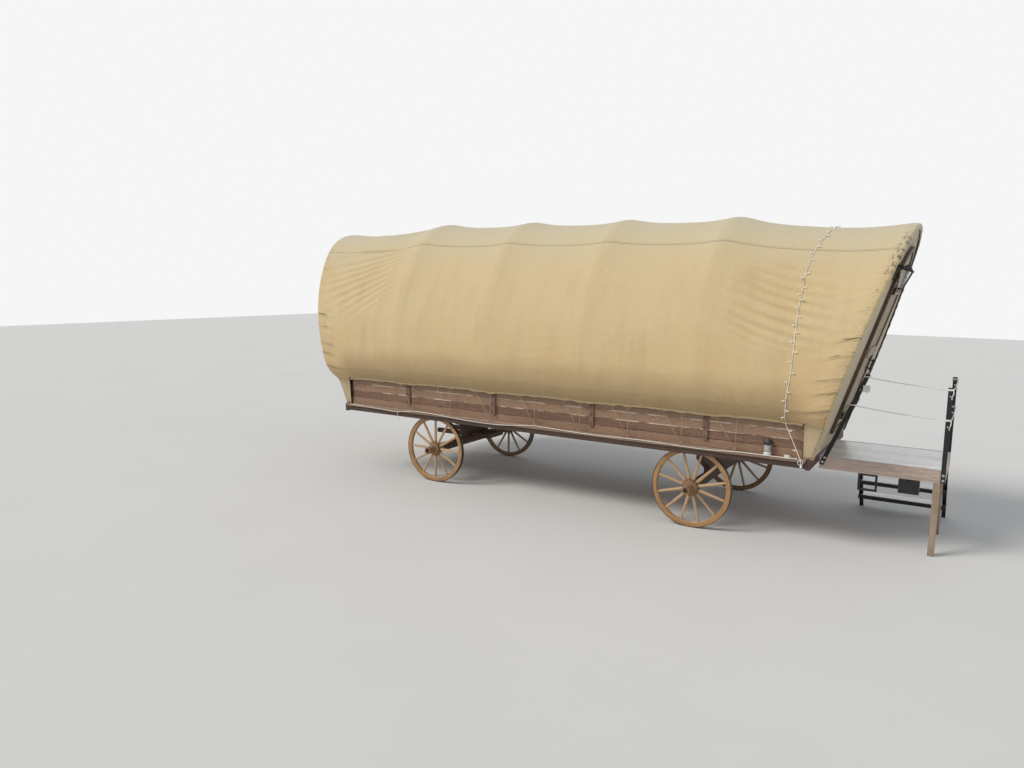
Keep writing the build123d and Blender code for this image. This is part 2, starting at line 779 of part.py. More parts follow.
with BuildPart() as porch_frame:
    frame_z = (porch_frame_bottom, porch_top - porch_board)
    fascia_z = (porch_frame_bottom, porch_top)
    for fascia_y in (-porch_half_width, deck_half_width):
        box_between((porch_start, porch_end), (fascia_y, fascia_y + porch_rail), fascia_z)
    box_between((porch_end, porch_end + post_width), (-porch_half_width, porch_half_width), fascia_z)
    box_between((porch_start, porch_end), (-porch_rail / 2, porch_rail / 2), frame_z)
    for rail_x in (porch_start, porch_end - porch_rail):
        box_between((rail_x, rail_x + porch_rail), (-deck_half_width, deck_half_width), frame_z)
save(porch_frame, "porch_frame")

with BuildPart() as porch_legs:
    for leg_y in (-porch_half_width, far_leg_y):
        box_between((porch_end - leg_width, porch_end), (leg_y, leg_y + leg_width), (0, porch_frame_bottom))
save(porch_legs, "porch_legs")

# Rail posts: black flat bars on the fascia's outer faces, the inner one leaning with the end wall, drilled for
# two ropes
post_top = 1812.0
post_foot = 804.0
rope_hole_r = 6.0
rope_heights = (1400.0, 1720.0)
with BuildPart() as outer_posts:
    for side in (-1, 1):
        outer_face = side * porch_half_width
        box_between((porch_end, porch_end + post_width), (outer_face, outer_face + side * post_thickness),
                    (post_foot, post_top))
    for height in rope_heights:
        with Locations(Location((porch_end + post_width / 2, 0, height), (90, 0, 0))):
            Cylinder(rope_hole_r, 2 * (porch_half_width + post_thickness), mode=Mode.SUBTRACT)
save(outer_posts, "rail_posts_outer")

inner_post_x = mid_x + 3324.0
inner_post_lean = radians(21.8)
inner_post_length = 1130.0
inner_post_foot = 846.0
inner_post_plane = Plane(origin=(inner_post_x, -porch_half_width, inner_post_foot),
                         x_dir=(sin(inner_post_lean), 0, cos(inner_post_lean)), z_dir=(0, -1, 0))
with BuildPart() as inner_post:
    with BuildSketch(inner_post_plane):
        with Locations((inner_post_length / 2, 0)):
            Rectangle(inner_post_length, post_width)
        for height in rope_heights:
            with Locations(((height - inner_post_foot) / cos(inner_post_lean), 0)):
                Circle(rope_hole_r, mode=Mode.SUBTRACT)
    extrude(amount=post_thickness)
save(inner_post, "rail_post_inner")

# Steps at the porch's far side: two steep square stringers, three framed treads and a hanger at the top
step_left_x = mid_x + 3554.0
step_right_x = mid_x + 4535.0
step_head = (porch_half_width + 44, 800.0)
step_foot = (porch_half_width + 575, 0.0)
stringer_width = 52.0
stringer_thickness = 45.0
tread_heights = (200.0, 420.0, 640.0)
tread_depth = 220.0
tread_bar = 30.0
tread_bar_thickness = 5.0
tread_board = 22.0
stringer_foot_width = 30.0
stringer_foot_height = 6.0
hook_drop = 44.0
hook_thickness = 6.0
post_clearance = 3.0
run_per_rise = (step_foot[0] - step_head[0]) / (step_head[1] - step_foot[1])


def stringer_outline():
    """A steep flat bar, cut level at its foot and head."""
    with BuildSketch(Plane.XY) as outline:
        with BuildLine():
            Polyline(step_foot, (step_foot[0] + stringer_foot_width, 0),
                     (step_foot[0] + stringer_foot_width, stringer_foot_height),
                     (step_head[0] + stringer_width, step_head[1]), step_head, close=True)
        make_face()
    return outline.sketch


def tread_middle(height):
    """Where the middle of a tread lies across the wagon."""
    return step_head[0] + (step_head[1] - height) * run_per_rise + 20


with BuildPart() as steps_frame:
    for stringer_x in (step_left_x, step_right_x - stringer_thickness):
        with BuildSketch(across(stringer_x)):
            add(stringer_outline())
        extrude(amount=stringer_thickness)
    for height in tread_heights:
        middle = tread_middle(height)
        bar_z = (height - tread_board - tread_bar, height - 6)
        for edge_y in (middle - tread_depth / 2, middle + tread_depth / 2 - tread_bar_thickness):
            box_between((step_left_x, step_right_x), (edge_y, edge_y + tread_bar_thickness), bar_z)
        for end_x in (step_left_x, step_right_x - stringer_thickness):
            box_between((end_x, end_x + stringer_thickness),
                        (middle - tread_depth / 2, middle + tread_depth / 2), bar_z)
    hook_y = step_head[0] - hook_drop
    hook_end_x = porch_end - post_clearance
    arm_z = (step_head[1] - 40, step_head[1])
    arm_start = hook_y + post_thickness + post_clearance
    box_between((step_left_x, hook_end_x), (hook_y, hook_y + hook_thickness),
                (step_head[1] - 60, step_head[1] + 40))
    for stringer_x, root_end in ((step_left_x, step_left_x + stringer_thickness),
                                 (step_right_x - stringer_thickness, hook_end_x)):
        box_between((stringer_x, root_end), (hook_y, arm_start), arm_z)
        box_between((stringer_x, stringer_x + stringer_thickness), (arm_start, step_head[0] + 40), arm_z)
save(steps_frame, "steps_frame")

with BuildPart() as step_treads:
    for height in tread_heights:
        middle = tread_middle(height)
        box_between((step_left_x + stringer_thickness, step_right_x - stringer_thickness),
                    (middle - tread_depth / 2 + tread_bar_thickness,
                     middle + tread_depth / 2 - tread_bar_thickness),
                    (height - tread_board, height))
save(step_treads, "step_treads")

# A square hanger bracket and a small switch box under the porch
hanger_width = 196.0
hanger_height = 190.0
hanger_bar = 22.0
hanger_origin = (mid_x + 3808, 10 - porch_half_width + hanger_bar, porch_frame_bottom - hanger_height / 2)
with BuildPart() as hanger:
    with BuildSketch(Plane(origin=hanger_origin, x_dir=(1, 0, 0), z_dir=(0, -1, 0))):
        Rectangle(hanger_width, hanger_height)
        Rectangle(hanger_width - 2 * hanger_bar, hanger_height - 2 * hanger_bar, mode=Mode.SUBTRACT)
    extrude(amount=hanger_bar)
save(hanger, "hanger_bracket")

switch_box_x = mid_x + 4180
switch_box_top = porch_frame_bottom - 129
with BuildPart() as switch_box:
    box_between((switch_box_x - 106, switch_box_x + 106), (-60, 60), (switch_box_top - 150, switch_box_top))
    box_between((switch_box_x - 20, switch_box_x + 20), (-20, 20), (switch_box_top, porch_frame_bottom))
save(switch_box, "switch_box")
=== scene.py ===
# %% [markdown]
# # A covered wagon, dressed
#
# The wagon's construction arrives as a measured model: wheels, bed, boarded sides, bows, end walls, porch.
# What it lacks is everything a maker adds with the hand: stretched canvas that sags between the bows, its
# hem and lacing, the grain and varnish of the wood, the bolts, the lights. This lesson makes those, piece
# by piece, round the model, in metres and in the model's own frame.

from math import asin, cos, pi, radians, sin, tan

import bpy
import numpy as np
from mathutils import Matrix, Vector


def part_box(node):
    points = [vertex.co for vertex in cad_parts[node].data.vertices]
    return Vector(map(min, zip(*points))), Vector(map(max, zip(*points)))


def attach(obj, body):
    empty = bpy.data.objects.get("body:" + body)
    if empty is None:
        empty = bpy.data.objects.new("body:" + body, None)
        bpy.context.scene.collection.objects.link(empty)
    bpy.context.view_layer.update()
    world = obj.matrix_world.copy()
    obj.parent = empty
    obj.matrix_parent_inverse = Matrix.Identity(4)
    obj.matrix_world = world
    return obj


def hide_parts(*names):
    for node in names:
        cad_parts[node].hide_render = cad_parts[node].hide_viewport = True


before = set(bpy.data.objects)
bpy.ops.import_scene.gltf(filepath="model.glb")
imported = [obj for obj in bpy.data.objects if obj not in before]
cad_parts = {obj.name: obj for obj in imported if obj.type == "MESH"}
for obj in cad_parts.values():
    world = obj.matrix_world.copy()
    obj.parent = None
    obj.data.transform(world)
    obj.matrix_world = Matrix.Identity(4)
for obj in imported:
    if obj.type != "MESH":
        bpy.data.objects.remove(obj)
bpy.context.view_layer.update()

# %% [markdown]
# ## Places taken from the model
#
# A few faces of the model place everything else. The middle of the bed is where lengths along the wagon
# are counted from, the floor gives the height of the ledges, and each wheel's box gives its hub. Reading
# them here, rather than typing them again, keeps every new piece on the wood that carries it.

# %% Read the bed, the ledges, the porch and the hubs
bed_low, bed_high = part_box("bed_floor")
mid_x = (bed_low.x + bed_high.x) / 2
floor_top = bed_high.z
ledge_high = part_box("ledges")[1]
ledge_edge_y = ledge_high.y
side_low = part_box("box_side_near")[0]
side_face_y = -side_low.y
deck_low, deck_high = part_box("porch_deck")
wheel_names = ("front_near", "front_far", "rear_near", "rear_far")


def hub_of(name):
    """The middle of a wheel, from the box of its tyre."""
    low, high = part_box(f"tyre_{name}")
    return np.array((low + high) / 2)


hubs = {name: hub_of(name) for name in wheel_names}
print("bed middle", round(mid_x, 4), "floor", round(floor_top, 3))

# %% [markdown]
# ## Camera
#
# A photographer stood to the near side of the rear half and looked forwards over the wagon, with the lens
# tipped down a little. The camera's three directions are worked out from yaw, pitch and roll, and set as a
# matrix, because three Euler angles in a row are easy to apply in the wrong order.

# %% Place the camera
camera_place = Vector((mid_x + 4.806, -9.716, 2.855))
camera_yaw = radians(31.2)
camera_pitch = radians(7.627)
camera_roll = radians(-0.809)
lens_mm = 27.58

forward = Vector((-sin(camera_yaw) * cos(camera_pitch), cos(camera_yaw) * cos(camera_pitch),
                  -sin(camera_pitch)))
level = Vector((cos(camera_yaw), sin(camera_yaw), 0))
downward = forward.cross(level)
right = cos(camera_roll) * level + sin(camera_roll) * downward
down = -sin(camera_roll) * level + cos(camera_roll) * downward

camera = bpy.data.objects.new("camera", bpy.data.cameras.new("camera"))
camera.data.lens = lens_mm
camera.data.sensor_width = 36
camera.matrix_world = Matrix((
    (right.x, -down.x, -forward.x, camera_place.x),
    (right.y, -down.y, -forward.y, camera_place.y),
    (right.z, -down.z, -forward.z, camera_place.z),
    (0, 0, 0, 1),
))
bpy.context.scene.collection.objects.link(camera)
bpy.context.scene.camera = camera
print("camera at", tuple(round(v, 3) for v in camera_place))

# %% [markdown]
# ## Helpers for meshes
#
# Every new piece is worked out as whole arrays of points. One helper turns arrays into a mesh; the others
# make the few forms that repeat: a grid of points, a tube along a path, many straight rods at once, and
# many turned heads at once. None of them walks over points one by one.

# %% Turn arrays into a mesh
def mesh_piece(name, points, faces, body, smooth=True):
    """A piece from an (n, 3) array of points and a list of (m, k) arrays, a row for each k-cornered face."""
    mesh = bpy.data.meshes.new(name)
    points = np.asarray(points, np.float32).reshape(-1, 3)
    mesh.vertices.add(len(points))
    mesh.vertices.foreach_set("co", points.ravel())
    corners = np.concatenate([block.ravel() for block in faces]).astype(np.int32)
    sizes = np.concatenate([np.full(len(block), block.shape[1]) for block in faces])
    starts = np.concatenate([[0], np.cumsum(sizes)[:-1]]).astype(np.int32)
    mesh.loops.add(len(corners))
    mesh.loops.foreach_set("vertex_index", corners)
    mesh.polygons.add(len(sizes))
    mesh.polygons.foreach_set("loop_start", starts)
    mesh.update(calc_edges=True)
    mesh.validate()
    mesh.polygons.foreach_set("use_smooth", np.full(len(mesh.polygons), smooth))
    piece = bpy.data.objects.new(name, mesh)
    bpy.context.scene.collection.objects.link(piece)
    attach(piece, body)
    return piece


def grid_faces(rows, columns, closed_columns=False):
    """Quads of a grid of points stored row by row. A closed grid joins its last column to its first."""
    across = columns if closed_columns else columns - 1
    row = np.arange(rows - 1)[:, None]
    column = np.arange(across)[None, :]
    after = (column + 1) % columns
    quads = np.stack([
        row * columns + column,
        row * columns + after,
        (row + 1) * columns + after,
        (row + 1) * columns + column,
    ], axis=-1)
    return quads.reshape(-1, 4)


def unit(vectors):
    """Each vector over its own length."""
    return vectors / np.maximum(np.linalg.norm(vectors, axis=-1, keepdims=True), 1e-12)


# %% Make tubes, rods, heads and blocks
def smooth_path(points, per_span=8):
    """A Catmull-Rom curve through points: each span blends its two ends and their neighbours by cubics."""
    points = np.asarray(points, float)
    padded = np.vstack([2 * points[0] - points[1], points, 2 * points[-1] - points[-2]])
    a, b, c, d = (padded[i:len(padded) - 3 + i, None] for i in range(4))
    t = (np.arange(per_span) / per_span)[None, :, None]
    spans = 0.5 * (2 * b + (c - a) * t + (2 * a - 5 * b + 4 * c - d) * t ** 2
                   + (3 * b - a - 3 * c + d) * t ** 3)
    return np.vstack([spans.reshape(-1, points.shape[1]), points[-1:]])


def sides_of(path, up):
    """Two directions square to a path at each point: the one across it, and up made square to the path."""
    along = unit(np.gradient(path, axis=0))
    across = unit(np.cross(np.asarray(up, float), along))
    return across, np.cross(along, across)


def tube_parts(path, radius, sides=8, up=(0, 0, 1), tall=1.0):
    """Points and faces of a closed tube: path + radius (across cos a + tall upward sin a), ring by ring.

    radius is one number, or one for each point of the path.
    """
    path = np.asarray(path, float)
    across, upward = sides_of(path, up)
    angle = (2 * pi * np.arange(sides) / sides)[None, :, None]
    section = across[:, None] * np.cos(angle) + tall * upward[:, None] * np.sin(angle)
    rings = path[:, None] + np.broadcast_to(radius, len(path))[:, None, None] * section
    corner = np.arange(sides)
    caps = np.stack([corner[::-1], corner + (len(path) - 1) * sides])
    return rings.reshape(-1, 3), [grid_faces(len(path), sides, closed_columns=True), caps]


def gather(parts):
    """Joins several (points, faces) pairs, each with faces counted from its own first point."""
    points, faces, start = [], [], 0
    for part_points, part_faces in parts:
        points.append(part_points)
        faces.extend(block + start for block in part_faces)
        start += len(part_points)
    return np.vstack(points), faces


def round_rim(axes, around):
    """A circle of unit directions square to each axis: across cos a + upward sin a."""
    helper = np.where(np.abs(axes[:, 2:]) > 0.9, [[1.0, 0, 0]], [[0, 0, 1.0]])
    across = unit(np.cross(axes, helper))
    upward = np.cross(axes, across)
    angle = (2 * pi * np.arange(around) / around)[None, :, None]
    return across[:, None] * np.cos(angle) + upward[:, None] * np.sin(angle)


def rods(starts, ends, radius, sides=6):
    """Many straight rods at once: each ring is an end + radius (cos, sin) in a plane square to the rod."""
    starts = np.asarray(starts, float)
    ends = np.asarray(ends, float)
    rim = round_rim(unit(ends - starts), sides)
    rings = np.stack([starts[:, None] + radius * rim, ends[:, None] + radius * rim], axis=1)
    base = (np.arange(len(starts)) * 2 * sides)[:, None, None]
    corner = np.arange(sides)
    after = (corner + 1) % sides
    quads = np.stack([corner, after, after + sides, corner + sides], axis=-1)[None] + base
    caps = np.stack([corner[::-1], corner + sides])[None] + base
    return rings.reshape(-1, 3), [quads.reshape(-1, 4), caps.reshape(-1, sides)]


def turned(centres, axes, profile, sides=8):
    """Many turned forms at once, such as bolt heads. Profile rows are (radius, height), foot first."""
    centres = np.asarray(centres, float).reshape(-1, 3)
    axes = unit(np.broadcast_to(np.asarray(axes, float), centres.shape))
    profile = np.asarray(profile, float)
    rim = round_rim(axes, sides)
    points = (centres[:, None, None] + axes[:, None, None] * profile[None, :, None, 1:]
              + rim[:, None] * profile[None, :, None, :1])
    rings = len(profile)
    base = (np.arange(len(centres)) * rings * sides)[:, None, None]
    quads = grid_faces(rings, sides, closed_columns=True)[None] + base
    corner = np.arange(sides)
    caps = np.stack([corner[::-1], corner + (rings - 1) * sides])[None] + base
    return points.reshape(-1, 3), [quads.reshape(-1, 4), caps.reshape(-1, sides)]


def hoops(centres, axes, section, around=24):
    """Many closed rings at once: each section row (radius, height on the axis) is turned about the axis.

    The rows run anticlockwise, from the outermost one towards the axis's own direction.
    """
    centres = np.asarray(centres, float).reshape(-1, 3)
    axes = unit(np.broadcast_to(np.asarray(axes, float), centres.shape))
    section = np.asarray(section, float)
    rim = round_rim(axes, around)
    points = (centres[:, None, None] + rim[:, :, None] * section[None, None, :, :1]
              + axes[:, None, None] * section[None, None, :, 1:])
    sides = len(section)
    row = np.arange(around)[:, None]
    corner = np.arange(sides)[None, :]
    next_row = (row + 1) % around
    next_corner = (corner + 1) % sides
    quads = np.stack([row * sides + corner, next_row * sides + corner, next_row * sides + next_corner,
                      row * sides + next_corner], axis=-1).reshape(-1, 4)
    base = (np.arange(len(centres)) * around * sides)[:, None, None]
    return points.reshape(-1, 3), [(quads[None] + base).reshape(-1, 4)]


def wire_section(major, minor, sides=6):
    """The section of a ring of round wire: (major + minor cos v, minor sin v)."""
    angle = 2 * pi * np.arange(sides) / sides
    return np.stack([major + minor * np.cos(angle), minor * np.sin(angle)], axis=-1)


def blocks(lows, highs):
    """Many square blocks at once, from their lowest and highest corners."""
    lows = np.asarray(lows, float).reshape(-1, 3)
    highs = np.asarray(highs, float).reshape(-1, 3)
    pick = np.array([[x, y, z] for z in (0, 1) for y in (0, 1) for x in (0, 1)])
    points = lows[:, None] + (highs - lows)[:, None] * pick[None]
    quads = np.array([[0, 2, 3, 1], [4, 5, 7, 6], [0, 1, 5, 4], [2, 6, 7, 3], [0, 4, 6, 2], [1, 3, 7, 5]])
    base = (np.arange(len(lows)) * 8)[:, None, None]
    return points.reshape(-1, 3), [(quads[None] + base).reshape(-1, 4)]


print("helpers ready: grid, path, tube, rods, turned heads, hoops, blocks")

# %% [markdown]
# ## Helpers for materials
#
# A material is a small network of nodes. A Signal stands for what one node hands to the next, and plain
# arithmetic on Signals adds the Math nodes, so a network reads like the formula that it works out. Shared
# effects are node groups, built once and placed in each material with their own numbers.

# %% Write networks as formulas
class Signal:
    """What a node gives: a number, vector or colour. Arithmetic on it adds Math nodes to the same tree."""

    def __init__(self, socket):
        self.socket = socket
        self.tree = socket.id_data

    def __add__(self, other):
        return maths("ADD", self, other)

    def __sub__(self, other):
        return maths("SUBTRACT", self, other)

    def __rsub__(self, other):
        return maths("SUBTRACT", other, self)

    def __mul__(self, other):
        return maths("MULTIPLY", self, other)

    def __truediv__(self, other):
        return maths("DIVIDE", self, other)

    def __rtruediv__(self, other):
        return maths("DIVIDE", other, self)

    def __abs__(self):
        return maths("ABSOLUTE", self)

    __radd__ = __add__
    __rmul__ = __mul__


def wire(sockets, values):
    """Links each named or numbered socket to a Signal, or sets its value. Colours are opaque."""
    for key, value in values.items():
        socket = sockets[key]
        if isinstance(value, Signal):
            socket.id_data.links.new(value.socket, socket)
        else:
            socket.default_value = (*value[:3], 1) if socket.type == "RGBA" else value


def add_node(kind, inputs, output=0, tree=None, **choices):
    """Adds a node with its choices and inputs and returns one output. The tree comes from its Signals."""
    tree = tree or next(value.tree for value in inputs.values() if isinstance(value, Signal))
    node = tree.nodes.new(f"ShaderNode{kind}")
    for choice, value in choices.items():
        setattr(node, choice, value)
    wire(node.inputs, inputs)
    return Signal(node.outputs[output])


def maths(operation, *values):
    """A Math node's result."""
    return add_node("Math", dict(enumerate(values)), operation=operation)


def hypotenuse(first, second):
    """root(first^2 + second^2)."""
    return maths("SQRT", first * first + second * second)


def split(vector):
    """A vector's three parts."""
    return [Signal(output) for output in add_node("SeparateXYZ", {0: vector}).socket.node.outputs]


def joined(x, y, z):
    """A vector from three parts."""
    return add_node("CombineXYZ", {0: x, 1: y, 2: z})


def mixed(factor, first, second, blend="MIX"):
    """A colour between two colours. A Mix node's sockets go by number, because each data type has its own."""
    return add_node("Mix", {0: factor, 6: first, 7: second}, 2, data_type="RGBA", blend_type=blend)


def mixed_vectors(factor, first, second):
    """A vector between two vectors."""
    return add_node("Mix", {0: factor, 4: first, 5: second}, 1, data_type="VECTOR")


def shaded(colour, tone):
    """A colour times a number."""
    return mixed(1.0, colour, joined(tone, tone, tone), "MULTIPLY")


def noise(vector, scale, detail=3.0, roughness=0.5, distortion=0.0):
    """A Noise Texture's value, from 0 to 1."""
    return add_node("TexNoise", {"Vector": vector, "Scale": scale, "Detail": detail, "Roughness": roughness,
                                 "Distortion": distortion}, "Fac")


def ranged(value, low, high, to_low=0.0, to_high=1.0):
    """A value moved from one range to another with soft ends."""
    inputs = dict(enumerate((value, low, high, to_low, to_high)))
    return add_node("MapRange", inputs, interpolation_type="SMOOTHSTEP")


def bumped(height, distance, strength, normal=None):
    """A Bump node's normal from a height that runs from 0 to 1, laid over another normal if one is given."""
    inputs = {"Strength": strength, "Distance": distance, "Height": height}
    if normal is not None:
        inputs["Normal"] = normal
    return add_node("Bump", inputs)


def object_place(tree):
    """Where a point lies in the model's frame."""
    return add_node("TexCoord", {}, "Object", tree)


# %% Make groups, materials and painted pieces
def new_group(name, outputs, **inputs):
    """An empty node group: its inputs as Signals, and its outputs' sockets. An input of None is a vector."""
    tree = bpy.data.node_groups.new(name, "ShaderNodeTree")
    for label, default in inputs.items():
        kind = "NodeSocketVector" if default is None else "NodeSocketFloat"
        socket = tree.interface.new_socket(label, in_out="INPUT", socket_type=kind)
        if default is not None:
            socket.default_value = default
    for label in outputs:
        tree.interface.new_socket(label, in_out="OUTPUT", socket_type="NodeSocketFloat")
    start = tree.nodes.new("NodeGroupInput").outputs
    return {label: Signal(start[label]) for label in inputs}, tree.nodes.new("NodeGroupOutput").inputs


def use_group(name, **values):
    """Places a group in a material and returns its outputs by name."""
    first = add_node("Group", values, node_tree=bpy.data.node_groups[name])
    return {socket.name: Signal(socket) for socket in first.socket.node.outputs}


def new_material(name, roughness, settings=None):
    """A material, its tree and its Principled shader's sockets, with their plain values set."""
    material = bpy.data.materials.new(name)
    material.use_nodes = True
    shader = material.node_tree.nodes["Principled BSDF"].inputs
    wire(shader, {"Roughness": roughness, **(settings or {})})
    return material, material.node_tree, shader


def paint(material, *names):
    """Gives CAD nodes or pieces a material in every slot."""
    for name in names:
        piece = bpy.data.objects[name]
        if not piece.material_slots:
            piece.data.materials.append(material)
        for place in piece.material_slots:
            place.material = material


def add_piece(name, parts, finish, body="wagon", smooth=True):
    """A piece from a list of (points, faces) parts, painted with its finish."""
    piece = mesh_piece(name, *gather(parts), body, smooth)
    paint(finish, name)
    return piece


print("helpers for materials ready")

# %% [markdown]
# ## Wood grain
#
# Wood is long streaks along the trunk, finer pores on top, and slow changes between boards. The group
# takes a place whose first axis runs along the grain, squeezes it, and reads noise there: the streaks
# drive colour, the pores drive both colour and a very shallow bump.

# %% Build the grain group
def build_grain():
    """Streaks: noise on (along * stretch, across, across). Pores: finer noise on the same. Height: both."""
    given, result = new_group("wood_grain", ("Streaks", "Pores", "Height"),
                              Place=None, Scale=14.0, Stretch=0.06)
    x, y, z = split(given["Place"])
    squeezed = joined(x * given["Stretch"], y, z)
    bent = noise(squeezed, given["Scale"], 2.0, 0.5, 0.6)
    streaks = noise(squeezed, given["Scale"] * 3.2, 5.0, 0.62, 0.9)
    pores = noise(squeezed, given["Scale"] * 17.0, 3.0, 0.7)
    both = bent * 0.45 + streaks * 0.55
    wire(result, {"Streaks": ranged(both, 0.32, 0.68), "Pores": ranged(pores, 0.35, 0.7),
                  "Height": both * 0.5 + pores * 0.5})


build_grain()
print("grain group built")

# %% [markdown]
# ## Boards that differ
#
# No two boards come from the same plank. This group counts boards along one axis, gives each its own random
# shade, and marks a soft line at the joint. Most woods colour that line as a dark gap; on the side boards it
# is mostly a painted highlight on the groove's upward lip, with some pale wear.

# %% Build the board group
def build_boards():
    """Shade: a random number for each whole number of boards. Joint: 1 near a joint, broken up by noise."""
    given, result = new_group("board_shift", ("Shade", "Joint"),
                              Along=0.0, First=0.0, Width=0.1, Line=0.006, Place=None)
    count = (given["Along"] - given["First"]) / given["Width"]
    part = maths("FRACT", count)
    away = maths("MINIMUM", part, 1.0 - part) * given["Width"]
    line = ranged(away, given["Line"], given["Line"] * 0.45)
    breaks = ranged(noise(given["Place"], 3.6, 4.0, 0.65), 0.42, 0.58)
    shade = add_node("TexWhiteNoise", {"W": maths("FLOOR", count)}, "Value", noise_dimensions="1D")
    wire(result, {"Shade": shade, "Joint": line * breaks})


build_boards()
print("board group built")

# %% [markdown]
# ## Woven cloth
#
# Canvas is a plain weave of thick and thin threads. Seen from a few metres the threads merge and only their
# slubs show, as short faint dashes both ways. The group reads a flat place in metres, so the weave follows
# the cloth and not the room, and returns the dashes and a height for the bump.

# %% Build the weave group
def build_weave():
    """Slubs: noise stretched along the cloth, plus the same across it. Height: slubs with fine ridges."""
    given, result = new_group("cloth_weave", ("Slubs", "Height"), Place=None, Thread=0.0016)
    x, y, _ = split(given["Place"])
    long_way = noise(joined(x * 0.08, y, 0.0), 210.0, 2.0, 0.6)
    cross_way = noise(joined(x, y * 0.08, 0.0), 210.0, 2.0, 0.6)
    slubs = long_way * 0.5 + cross_way * 0.5
    turn = 2 * pi / given["Thread"]
    threads = maths("SINE", x * turn) * maths("SINE", y * turn)
    wire(result, {"Slubs": slubs, "Height": threads * 0.2 + slubs})


build_weave()
print("weave group built")

# %% [markdown]
# ## Dust and rain
#
# A wagon that stands outside gets pale dust on what faces up and darker, damper wood low down. One group
# gives both masks from the place and the face's own direction, which is geometry and not the camera's
# view.

# %% Build the weather group
def build_weather():
    """Dust: how far a face looks up, times noise. Damp: nearness to the ground, times noise."""
    given, result = new_group("weather", ("Dust", "Damp", "Mottle"), Place=None, Top=0.5)
    place = given["Place"]
    facing = split(add_node("NewGeometry", {}, "Normal", place.tree))[2]
    height = split(place)[2]
    blotch = noise(place, 2.3, 4.0, 0.6)
    fine = noise(place, 21.0, 4.0, 0.65)
    wire(result, {"Dust": ranged(facing, 0.35, 0.95) * ranged(fine, 0.3, 0.7, 0.35, 1.0),
                  "Damp": ranged(height, given["Top"], 0.0) * ranged(blotch, 0.3, 0.65),
                  "Mottle": fine * 0.4 + blotch * 0.6})


build_weather()
print("groups:", [group.name for group in bpy.data.node_groups])

# %% [markdown]
# ## A wood for every piece
#
# Most pieces are plain boards and beams, so one function makes their material from a few choices: two
# colours of the wood, the axis that the grain runs along, the boards if the piece shows several, and how
# dusty or damp it is. Each piece still gets its own colours, because stain, varnish and bare grey wood age
# differently.

# %% Make a wood material
def make_wood(name, light, dark, along=0, boards=None, joint=None, low_joint=None, tint=None, dust=None,
              damp_top=0.4, roughness=0.62, coat=0.0, contrast=1.0):
    """Mixes dark to light by grain streaks, shifts it per board, then lays joints, dust and damp over it.

    boards is (axis, first edge, width, line width); joint, tint and dust are (colour, amount); low_joint is
    the colour of the joints below a height, and that height.
    """
    material, tree, shader = new_material(name, roughness, {"Coat Weight": coat, "Coat Roughness": 0.25})
    place = object_place(tree)
    parts = split(place)
    across, upward = (part for axis, part in enumerate(parts) if axis != along)
    shade = 0.5
    if boards:
        axis, first, width, line_width = boards
        group = use_group("board_shift", Place=place, Along=parts[axis], First=first, Width=width,
                          Line=line_width)
        shade = group["Shade"]
    grain = use_group("wood_grain", Place=joined(parts[along] + shade * 37.0, across, upward))
    colour = mixed(grain["Streaks"], dark, light)
    if tint:
        share = ranged(shade * 0.6 + noise(place, 0.9, 3.0, 0.55) * 0.7, 0.35, 0.85)
        colour = mixed(share * tint[1], colour, tint[0])
    pores = ranged(grain["Pores"], 0.0, 1.0, 1.0 - 0.22 * contrast, 1.0 + 0.10 * contrast)
    colour = shaded(colour, pores * (shade * (0.30 * contrast) + (1.0 - 0.15 * contrast)))
    sky = use_group("weather", Place=place, Top=damp_top)
    if joint:
        joint_colour, amount = joint
        if low_joint:
            low = ranged(parts[2], low_joint[1] + 0.02, low_joint[1] - 0.02)
            joint_colour = mixed(low, joint_colour, low_joint[0])
        colour = mixed(group["Joint"] * amount, colour, joint_colour)
    if dust:
        colour = mixed(sky["Dust"] * dust[1], colour, dust[0])
    colour = mixed(sky["Damp"] * 0.45, colour, (0.05, 0.038, 0.028))
    wire(shader, {"Base Color": colour, "Roughness": sky["Mottle"] * 0.25 + (roughness - 0.12),
                  "Normal": bumped(grain["Height"], 0.0012, 0.5 * contrast)})
    return material


# %% Finish the wooden pieces
board_width = 0.101
floor_half_width, floor_boards = 1.024, 14
deck_half_width, deck_board = 0.51, 0.1275
door_half_width, door_board = 0.354, 0.118
grey_dust = (0.42, 0.38, 0.33)
gear_light, gear_dark = (0.115, 0.062, 0.036), (0.055, 0.029, 0.017)

# The side boards' pale joint lines are mostly painted highlight on each groove's upward lip, with some wear;
# lower joints are dark gaps.
paint(make_wood("side_boards", (0.300, 0.165, 0.102), (0.180, 0.090, 0.054),
                boards=(2, floor_top, board_width, 0.0075), joint=((0.80, 0.69, 0.56), 1.0),
                low_joint=((0.075, 0.036, 0.022), 1.13), tint=((0.385, 0.250, 0.160), 0.62),
                dust=(grey_dust, 0.25), contrast=1.35),
      "box_side_near", "box_side_far")
paint(make_wood("batten_wood", (0.270, 0.165, 0.112), (0.165, 0.096, 0.064), along=2),
      "battens_near", "battens_far")
paint(make_wood("ledge_wood", (0.36, 0.235, 0.16), (0.22, 0.13, 0.085), dust=((0.55, 0.46, 0.36), 0.8)),
      "ledges")
paint(make_wood("rim_wood", (0.095, 0.053, 0.032), (0.045, 0.024, 0.015), dust=(grey_dust, 0.3)), "bed_frame")
paint(make_wood("end_beam_wood", (0.105, 0.060, 0.038), (0.050, 0.028, 0.018), along=1), "end_beams")
paint(make_wood("gear_wood", gear_light, gear_dark, dust=(grey_dust, 0.45)), "main_beams", "front_hounds")
paint(make_wood("gear_wood_across", gear_light, gear_dark, along=1, dust=(grey_dust, 0.45)),
      "front_axle_beam", "rear_axle_beam", "rear_bolster", "front_bolster", "upper_bolster")
paint(make_wood("floor_wood", (0.50, 0.35, 0.20), (0.33, 0.21, 0.11), roughness=0.5,
                boards=(1, -floor_half_width, 2 * floor_half_width / floor_boards, 0.004),
                joint=((0.10, 0.06, 0.035), 0.9)), "bed_floor")
